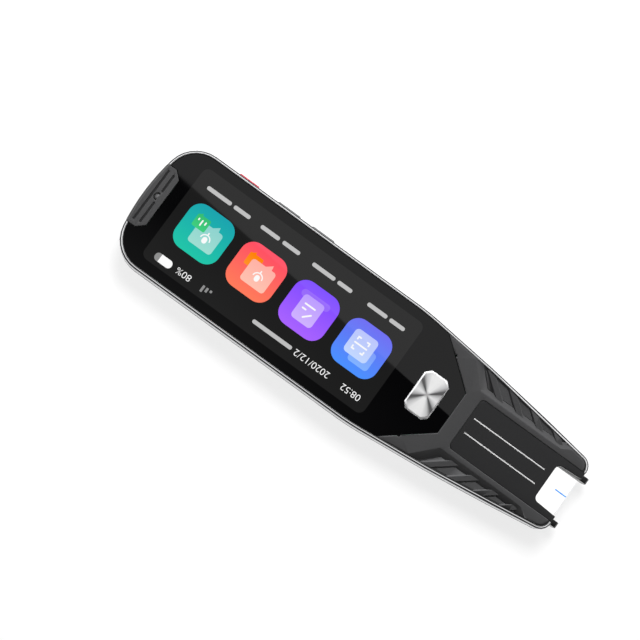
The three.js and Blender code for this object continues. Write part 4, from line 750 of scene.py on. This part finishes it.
tray_light = screen_light("page_tray_light", "#9668fb", "#9a6dfb", -5, -2)
page_light = screen_light("page_light", "#bb9cff", "#cfb2ff", -4, 4.5)
plate_on_screen("page_tray", (94.9, -3.4), (9.9, 2.3), 1.1, back_level, tray_light)
plate_on_screen("page_sheet", (94.95, 0.6), (7.3, 8.2), 1.2, front_level, page_light)
strokes_on_screen("page_lines", [
    ((93.2, 1.0), (95.4, 3.1)), ((95.5, 0.6), (97.1, 0.6)), ((93.2, -0.9), (97.1, -0.9)),
], 0.52, sign_level, white)

bubble_light = screen_light("speech_bubble_light", "#ffb1a6", "#ffc2b0", -3, 4.6)
orange_light = screen_light("answer_bubble_light", "#ff8200", "#ff9226", -4, 0.2)
bubble(
    "answer_bubble", (116.55, -1.9), (4.7, 4.1), 0.5, (2.9, 1.1, 0.7), back_level, orange_light
)
bubble(
    "speech_bubble", (112.95, 0.95), (8.5, 7.4), 1.0, (1.9, 2.1, 1.5), front_level, bubble_light
)
microphone("speech_microphone", (112.85, 1.45), sign_level, white)

note_light = screen_light("note_bubble_light", "#8fd3cf", "#9fded2", -3, 4.6)
green_light = screen_light("level_square_light", "#37bd72", "#41cf80", -4, 0.2)
bubble(
    "note_bubble", (132.2, 0.9), (8.3, 7.3), 1.0, (1.9, 2.1, 1.4), back_level, note_light
)
bubble(
    "level_bubble", (135.75, -2.0), (4.6, 4.1), 0.5, (3.1, 1.0, 0.6), front_level, green_light
)
microphone("note_microphone", (132.0, 1.45), sign_level, white)
strokes_on_screen("level_bars", [
    ((134.55, -3.0), (134.55, -1.9)), ((135.75, -3.0), (135.75, -1.0)),
    ((136.95, -3.0), (136.95, -2.2)),
], 0.45, sign_level, white)

label_y, bar_width, bar_corner = -11.75, 1.25, 0.55
label_bars = [
    [(71.2, 5.4), (78.4, 7.1)], [(90.3, 5.2), (98.0, 8.2)],
    [(109.9, 6.2), (117.6, 6.8)], [(127.9, 5.9), (136.2, 8.8)],
]
for number, pair in enumerate(label_bars, 1):
    bars = [(x, label_y, length, bar_width) for x, length in pair]
    bars_on_screen("label_bars_%d" % number, bars, tile_level, soft_white, bar_corner)

digits_on_screen("clock_digits", "08:52", 67.35, 11.7, digit_height, tile_level, white)
digits_on_screen("date_digits", "2020/12/2", 78.7, 11.6, digit_height, tile_level, white)
bars_on_screen("day_bar", [(99.4, 12.45, 14.2, bar_width)], tile_level, soft_white, bar_corner)
bars_on_screen("signal_bars", [
    (121.4, 12.9, 0.75, 0.8), (122.7, 13.25, 0.75, 1.5), (124.0, 13.6, 0.75, 2.2),
], tile_level, grey, 0.2)
digits_on_screen("charge_digits", "80%", 128.4, 12.5, digit_height, tile_level, white)
sign_middle, sign_size, sign_corner = (138.15, 13.65), (5.95, 2.6), 1.2
plate_on_screen("battery_outline", sign_middle, sign_size, sign_corner, tile_level, grey)
plate_on_screen(
    "battery_charge", sign_middle, sign_size, sign_corner, back_level, white, cut_at=139.4
)


# OK button. A cap of aluminium, its face spun with fine rings round its middle; the bright fans
# with dark rays between them that such rings throw are painted into its colour, a painted
# reflection that shows from any side; its rim is chamfered and painted bright, a painted highlight,
# and it slides in the glass.
painted_fan_reflection_colours = [
    (0.0, "#f4f3f4"), (0.14, "#e4e4e5"), (0.32, "#b4b4b5"), (0.41, "#565556"),
    (0.5, "#626263"), (0.62, "#cfcfd0"), (0.8, "#fafafa"), (1.0, "#ffffff"),
]
ring_width = 0.24 * MM  # the rings repeat every pi times this, coarser than real ones, to show
spun, tree, shader = finish_of("spun_aluminium", "#e4e4e5", 0.34, 0.12, Anisotropic=0.5)
cap_low, cap_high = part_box("ok_button")
cap_centre = ((cap_low.x + cap_high.x) / 2, (cap_low.y + cap_high.y) / 2, 0)
rim_top, face_foot = cap_high.z - 0.1 * MM, cap_high.z - 0.04 * MM
# Painted reflection: bright fans and dark rays, drawn by the angle round the cap's middle.
flat_ways = add(tree, "SeparateXYZ", {0: at(tree, centre=cap_centre)}).outputs
angle = add(tree, "Math", {0: flat_ways["Y"], 1: flat_ways["X"]}, operation="ARCTAN2")
fold = add(tree, "Math", {0: angle.outputs[0], 1: math.pi / 2}, operation="PINGPONG")
quarter = add(tree, "MapRange", {0: fold.outputs[0], 2: math.pi / 2})
painted_fans_reflection = add(tree, "ValToRGB", {0: quarter.outputs[0]})
fill_ramp(painted_fans_reflection, [(place, linear(colour)) for place, colour in painted_fan_reflection_colours])
across = add(
    tree, "VectorMath", {0: at(tree, centre=cap_centre), 1: (1, 1, 0)}, operation="MULTIPLY"
)
reach = add(tree, "VectorMath", {0: across.outputs[0]}, operation="LENGTH")
core = add(tree, "MapRange", {0: reach.outputs["Value"], 1: 0.15 * MM, 2: 1.2 * MM})
cap_level = add(tree, "SeparateXYZ", {0: at(tree)}).outputs["Z"]
cap_top = add(tree, "MapRange", {0: cap_level, 1: rim_top, 2: face_foot})
tint = add(tree, "Mix", {
    0: core.outputs[0], 6: linear("#b6b4b5"), 7: painted_fans_reflection.outputs[0],
}, data_type="RGBA")
# Painted highlight: the rim's chamfer, below the face, is drawn near white.
rim_painted_highlight = add(tree, "Mix", {
    0: cap_top.outputs[0], 6: linear("#f0f0f1"), 7: tint.outputs[2],
}, data_type="RGBA")
tree.links.new(rim_painted_highlight.outputs[2], shader.inputs["Base Color"])
rings = add(tree, "TexWave", {
    "Vector": at(tree, centre=cap_centre), "Scale": 1 / ring_width / 10, "Distortion": 0.3,
}, wave_type="RINGS", rings_direction="Z")
spun_rough = add(tree, "MapRange", {0: rings.outputs["Fac"], 3: 0.28, 4: 0.42})
tree.links.new(spun_rough.outputs[0], shader.inputs["Roughness"])
bump = add(tree, "Bump", {"Height": rings.outputs["Fac"], "Strength": 0.06, "Distance": 0.03 * MM})
tree.links.new(bump.outputs[0], shader.inputs["Normal"])
softened("ok_button", "spun_cap", 0.06, spun)


# Side keys. Three caps milled from aluminium bar, satin-blasted and anodised, which leaves an even
# silky colour: two in silver and the record key in red; each slides in its window of the frame.
def anodised(name, colour, metallic):
    material, tree, shader = finish_of(name, colour, 0.34, metallic, Coat_Weight=0.15)
    blast = add(tree, "TexNoise", {"Vector": at(tree), "Scale": 1 / (0.18 * MM), "Detail": 2})
    shade = add(tree, "MapRange", {0: blast.outputs[0], 1: 0.3, 2: 0.7, 3: 0.92, 4: 1.08})
    tint = add(tree, "VectorMath", {0: linear(colour)[:3], 3: shade.outputs[0]}, operation="SCALE")
    tree.links.new(tint.outputs[0], shader.inputs["Base Color"])
    bump = add(tree, "Bump", {"Height": blast.outputs[0], "Strength": 0.12, "Distance": 0.03 * MM})
    tree.links.new(bump.outputs[0], shader.inputs["Normal"])
    return material


silver_anodise = anodised("silver_anodise", "#a9aaab", 0.8)
red_anodise = anodised("red_anodise", "#e22a48", 0.35)
softened("volume_up_key", "volume_up_cap", 0.12, silver_anodise)
softened("volume_down_key", "volume_down_cap", 0.12, silver_anodise)
softened("record_key", "record_cap", 0.12, red_anodise)


# Port flap. Grey moulding in the cover's plastic with two long grooves with painted shade inside,
# and a thumbnail notch; it turns on a ground steel pin in the frame and covers the charging socket.
flap_plastic = grained("spark_eroded_flap", "#4b4b4c", 0.46, 0.22, 0.14, 0.05)
flap_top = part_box("port_flap")[1].z
# Painted shade: below the flap's top face, in its grooves, the colour is darkened.
shade_by_height(flap_plastic, flap_top - 0.12 * MM, flap_top - 0.22 * MM, 0.3)
softened("port_flap", "grooved_flap", 0.08, flap_plastic)
bright_steel, tree, shader = finish_of("bright_steel", "#cfd0d2", 0.22, 1.0)
scratch = add(tree, "TexNoise", {"Vector": at(tree), "Scale": 1 / (0.3 * MM), "Detail": 4})
worn = add(tree, "MapRange", {0: scratch.outputs[0], 1: 0.3, 2: 0.7, 3: 0.16, 4: 0.3})
tree.links.new(worn.outputs[0], shader.inputs["Roughness"])
softened("flap_hinge_pin", "ground_pin", 0.04, bright_steel)


# Charging socket. A deep-drawn shell of nickel-plated steel round a black tongue with two rows of
# gilt contacts, soldered to the end of the main board.
nickel, tree, shader = finish_of("nickel_plated_steel", "#b4b2ae", 0.26, 1.0)
drawn = add(tree, "TexNoise", {"Vector": at(tree), "Scale": 1 / (0.5 * MM), "Detail": 3})
worn = add(tree, "MapRange", {0: drawn.outputs[0], 1: 0.3, 2: 0.7, 3: 0.2, 4: 0.36})
tree.links.new(worn.outputs[0], shader.inputs["Roughness"])
softened("usb_socket", "drawn_socket_shell", 0.05, nickel)
softened("usb_tongue", "socket_tongue", 0.05, black_moulding)
gilt, tree, shader = finish_of("gilt_contact", "#c9a24a", 0.25, 1.0)
buffed = add(tree, "TexNoise", {"Vector": at(tree), "Scale": 1 / (0.1 * MM), "Detail": 2})
worn = add(tree, "MapRange", {0: buffed.outputs[0], 1: 0.3, 2: 0.7, 3: 0.2, 4: 0.32})
tree.links.new(worn.outputs[0], shader.inputs["Roughness"])
tongue_low, tongue_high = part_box("usb_tongue")
contact_count, contact_pitch, contact_setback = 12, 0.5, 0.3
contact_width, contact_length, contact_height = 0.26, 2.4, 0.05
for name, level in (("upper_contacts", tongue_high.z), ("lower_contacts", tongue_low.z)):
    bm = bmesh.new()
    for i in range(contact_count):
        y = (i - (contact_count - 1) / 2) * contact_pitch * MM
        x = tongue_high.x - (contact_length / 2 + contact_setback) * MM
        size = Matrix.Diagonal((contact_length * MM, contact_width * MM, contact_height * MM, 1))
        bmesh.ops.create_cube(bm, size=1, matrix=Matrix.Translation((x, y, level)) @ size)
    shown(bm, name, "housing", gilt)


# Loudspeaker. A small box speaker behind the slots of the plate, with a black woven mesh glued over
# its mouth to keep out dust; the threads cross slantwise, and look dull and slightly raised.
thread_width = 0.3 * MM  # the threads repeat every pi times this, coarser than real ones, to show
mesh_cloth, tree, shader = finish_of("woven_speaker_mesh", "#101011", 0.75)
warp, weft = [
    add(tree, "TexWave", {"Vector": at(tree, turn=(0, 0, turn)), "Scale": 1 / thread_width / 10})
    for turn in (math.pi / 4, -math.pi / 4)
]
weave = add(tree, "Math", {0: warp.outputs["Fac"], 1: weft.outputs["Fac"]}, operation="MULTIPLY")
tint = add(tree, "Mix", {
    0: weave.outputs[0], 6: linear("#060606"), 7: linear("#2a2a2b"),
}, data_type="RGBA")
tree.links.new(tint.outputs[2], shader.inputs["Base Color"])
bump = add(tree, "Bump", {"Height": weave.outputs[0], "Strength": 0.8, "Distance": 0.05 * MM})
tree.links.new(bump.outputs[0], shader.inputs["Normal"])
coated_node("speaker_mesh", mesh_cloth)
coated_node("speaker", black_moulding)


# Microphone meshes. A small disc of fine black cloth on a thin ring is glued in each hole of the
# front cover, over the microphones on the board; it is made near black to stand for the shade in
# the holes, a painted shade, so that they read as black dots.
# Painted shade: the disc is near black so that the holes read dark.
hole_shade_cloth = finish_of("microphone_mesh_painted_shade", "#040404", 0.9)[0]
hole_x, hole_y, disc_radius, disc_height = -24.4 * MM, 14.45 * MM, 0.5 * MM, 12.2 * MM
rim_width, rim_step, disc_thickness = 0.12 * MM, 0.05 * MM, 0.08 * MM
bm = bmesh.new()
for side in (-1, 1):
    bmesh.ops.create_circle(
        bm, cap_ends=True, segments=24, radius=disc_radius,
        matrix=Matrix.Translation((hole_x, side * hole_y, disc_height)),
    )
bmesh.ops.inset_individual(bm, faces=list(bm.faces), thickness=rim_width, depth=-rim_step)
bmesh.ops.solidify(bm, geom=list(bm.faces), thickness=disc_thickness)
bmesh.ops.recalc_face_normals(bm, faces=bm.faces)
shown(bm, "microphone_meshes", "housing", hole_shade_cloth)


# Display stack. Under the glass lie the display cell, black with a very fine grid, its foil
# backlight and a stamped aluminium tray with four posts, satin with rolling lines; four steel
# screws hold the main board to it.
stamped, tree, shader = finish_of("stamped_aluminium", "#b9babc", 0.32, 1.0)
rolled = add(tree, "Mapping", {"Vector": at(tree), "Scale": (0.05, 1, 1)})
rolling = add(tree, "TexNoise", {
    "Vector": rolled.outputs[0], "Scale": 1 / (0.12 * MM), "Detail": 3,
})
worn = add(tree, "MapRange", {0: rolling.outputs[0], 1: 0.3, 2: 0.7, 3: 0.24, 4: 0.42})
tree.links.new(worn.outputs[0], shader.inputs["Roughness"])
bump = add(tree, "Bump", {"Height": rolling.outputs[0], "Strength": 0.1, "Distance": 0.03 * MM})
tree.links.new(bump.outputs[0], shader.inputs["Normal"])
liquid, tree, shader = finish_of("display_cell", "#050507", 0.08)
cell = add(tree, "TexChecker", {
    "Vector": at(tree), "Scale": 1 / (0.6 * MM),
    "Color1": linear("#040405"), "Color2": linear("#08080b"),
})
tree.links.new(cell.outputs[0], shader.inputs["Base Color"])
coated_node("display_panel", liquid)
coated_node("display_backlight", stamped)
coated_node("display_tray", stamped)
for number in range(1, 5):
    coated_node("board_screw_%d" % number, bright_steel)


# Main board. Green glass-fibre laminate with copper tracks under the solder mask; cans of tinned
# steel with a spangled shine shield the processor, the radio and the microphones, and a matt black
# memory chip sits between them.
coated_node("main_board", solder_mask)
tinned, tree, shader = finish_of("tinned_steel", "#c3c4c4", 0.3, 1.0)
tin = add(tree, "TexVoronoi", {"Vector": at(tree), "Scale": 1 / (1.1 * MM)})
worn = add(tree, "MapRange", {0: tin.outputs["Color"], 3: 0.24, 4: 0.38})
tree.links.new(worn.outputs[0], shader.inputs["Roughness"])
for node in ("processor_shield", "radio_shield", "microphone_left", "microphone_right"):
    coated_node(node, tinned)
epoxy = grained("black_epoxy", "#131314", 0.55, 0.12, 0.2, 0.12)
coated_node("memory_chip", epoxy)
coated_node("ok_switch", nickel)
coated_node("camera_module", black_moulding)


# Side switches. Three small push switches on a strip of glossy amber polyimide film, with copper
# tracks showing through it, bonded along the inside of the frame behind the keys.
track_width = 0.8 * MM  # the tracks repeat every pi times this
film, tree, shader = finish_of("amber_polyimide", "#a8641c", 0.25, 0.0, Coat_Weight=0.4)
tracks = add(tree, "TexWave", {
    "Vector": at(tree), "Scale": 1 / track_width / 10,
}, bands_direction="Y")
tint = add(tree, "Mix", {
    0: tracks.outputs["Fac"], 6: linear("#8c4d12"), 7: linear("#c47a2a"),
}, data_type="RGBA")
tree.links.new(tint.outputs[2], shader.inputs["Base Color"])
coated_node("side_key_flex", film)
for key in ("record", "volume_up", "volume_down"):
    coated_node(key + "_switch", black_moulding)


# Battery. A lithium pouch cell in aluminium laminate, softly creased and matt on its folds, held by
# its own tape between the boards.
pouch, tree, shader = finish_of("laminated_pouch_foil", "#9a9b9e", 0.4, 0.9)
crease = add(tree, "TexNoise", {"Vector": at(tree), "Scale": 1 / (5 * MM), "Detail": 4})
bump = add(tree, "Bump", {"Height": crease.outputs[0], "Strength": 0.3, "Distance": 0.2 * MM})
tree.links.new(bump.outputs[0], shader.inputs["Normal"])
worn = add(tree, "MapRange", {0: crease.outputs[0], 1: 0.3, 2: 0.7, 3: 0.32, 4: 0.5})
tree.links.new(worn.outputs[0], shader.inputs["Roughness"])
coated_node("battery", pouch)


# Nib springs. Two coils of hard-drawn steel wire, each between an arm of the nib and a stop in the
# shell, which in the pen shorten as the nib slides in and push it back out; each is drawn here at
# rest, in a mesh of its own.
wire_radius, wire_sides, spring_turns, steps_per_turn = 0.16 * MM, 12, 6, 28
for side in ("left", "right"):
    low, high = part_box("nib_spring_" + side)
    middle = (low + high) / 2
    coil_radius = (high.z - low.z) / 2 - wire_radius
    run = high.x - low.x - 2 * wire_radius
    bm = bmesh.new()
    start = Matrix.Translation((low.x + wire_radius, middle.y, middle.z + coil_radius))
    bmesh.ops.create_circle(
        bm, cap_ends=True, segments=wire_sides, radius=wire_radius,
        matrix=start @ Matrix.Rotation(math.pi / 2, 4, "X"),
    )
    steps = spring_turns * steps_per_turn
    bmesh.ops.spin(
        bm, geom=list(bm.faces), cent=middle, axis=(1, 0, 0), dvec=(run / steps, 0, 0),
        angle=2 * math.pi * spring_turns, steps=steps, use_merge=False,
    )
    bmesh.ops.recalc_face_normals(bm, faces=bm.faces)
    coil = shown(bm, "coiled_spring_" + side, "housing", bright_steel)
    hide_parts("nib_spring_" + side)
    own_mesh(coil)

size = [list(c) for c in (*cad_box, *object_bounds())]
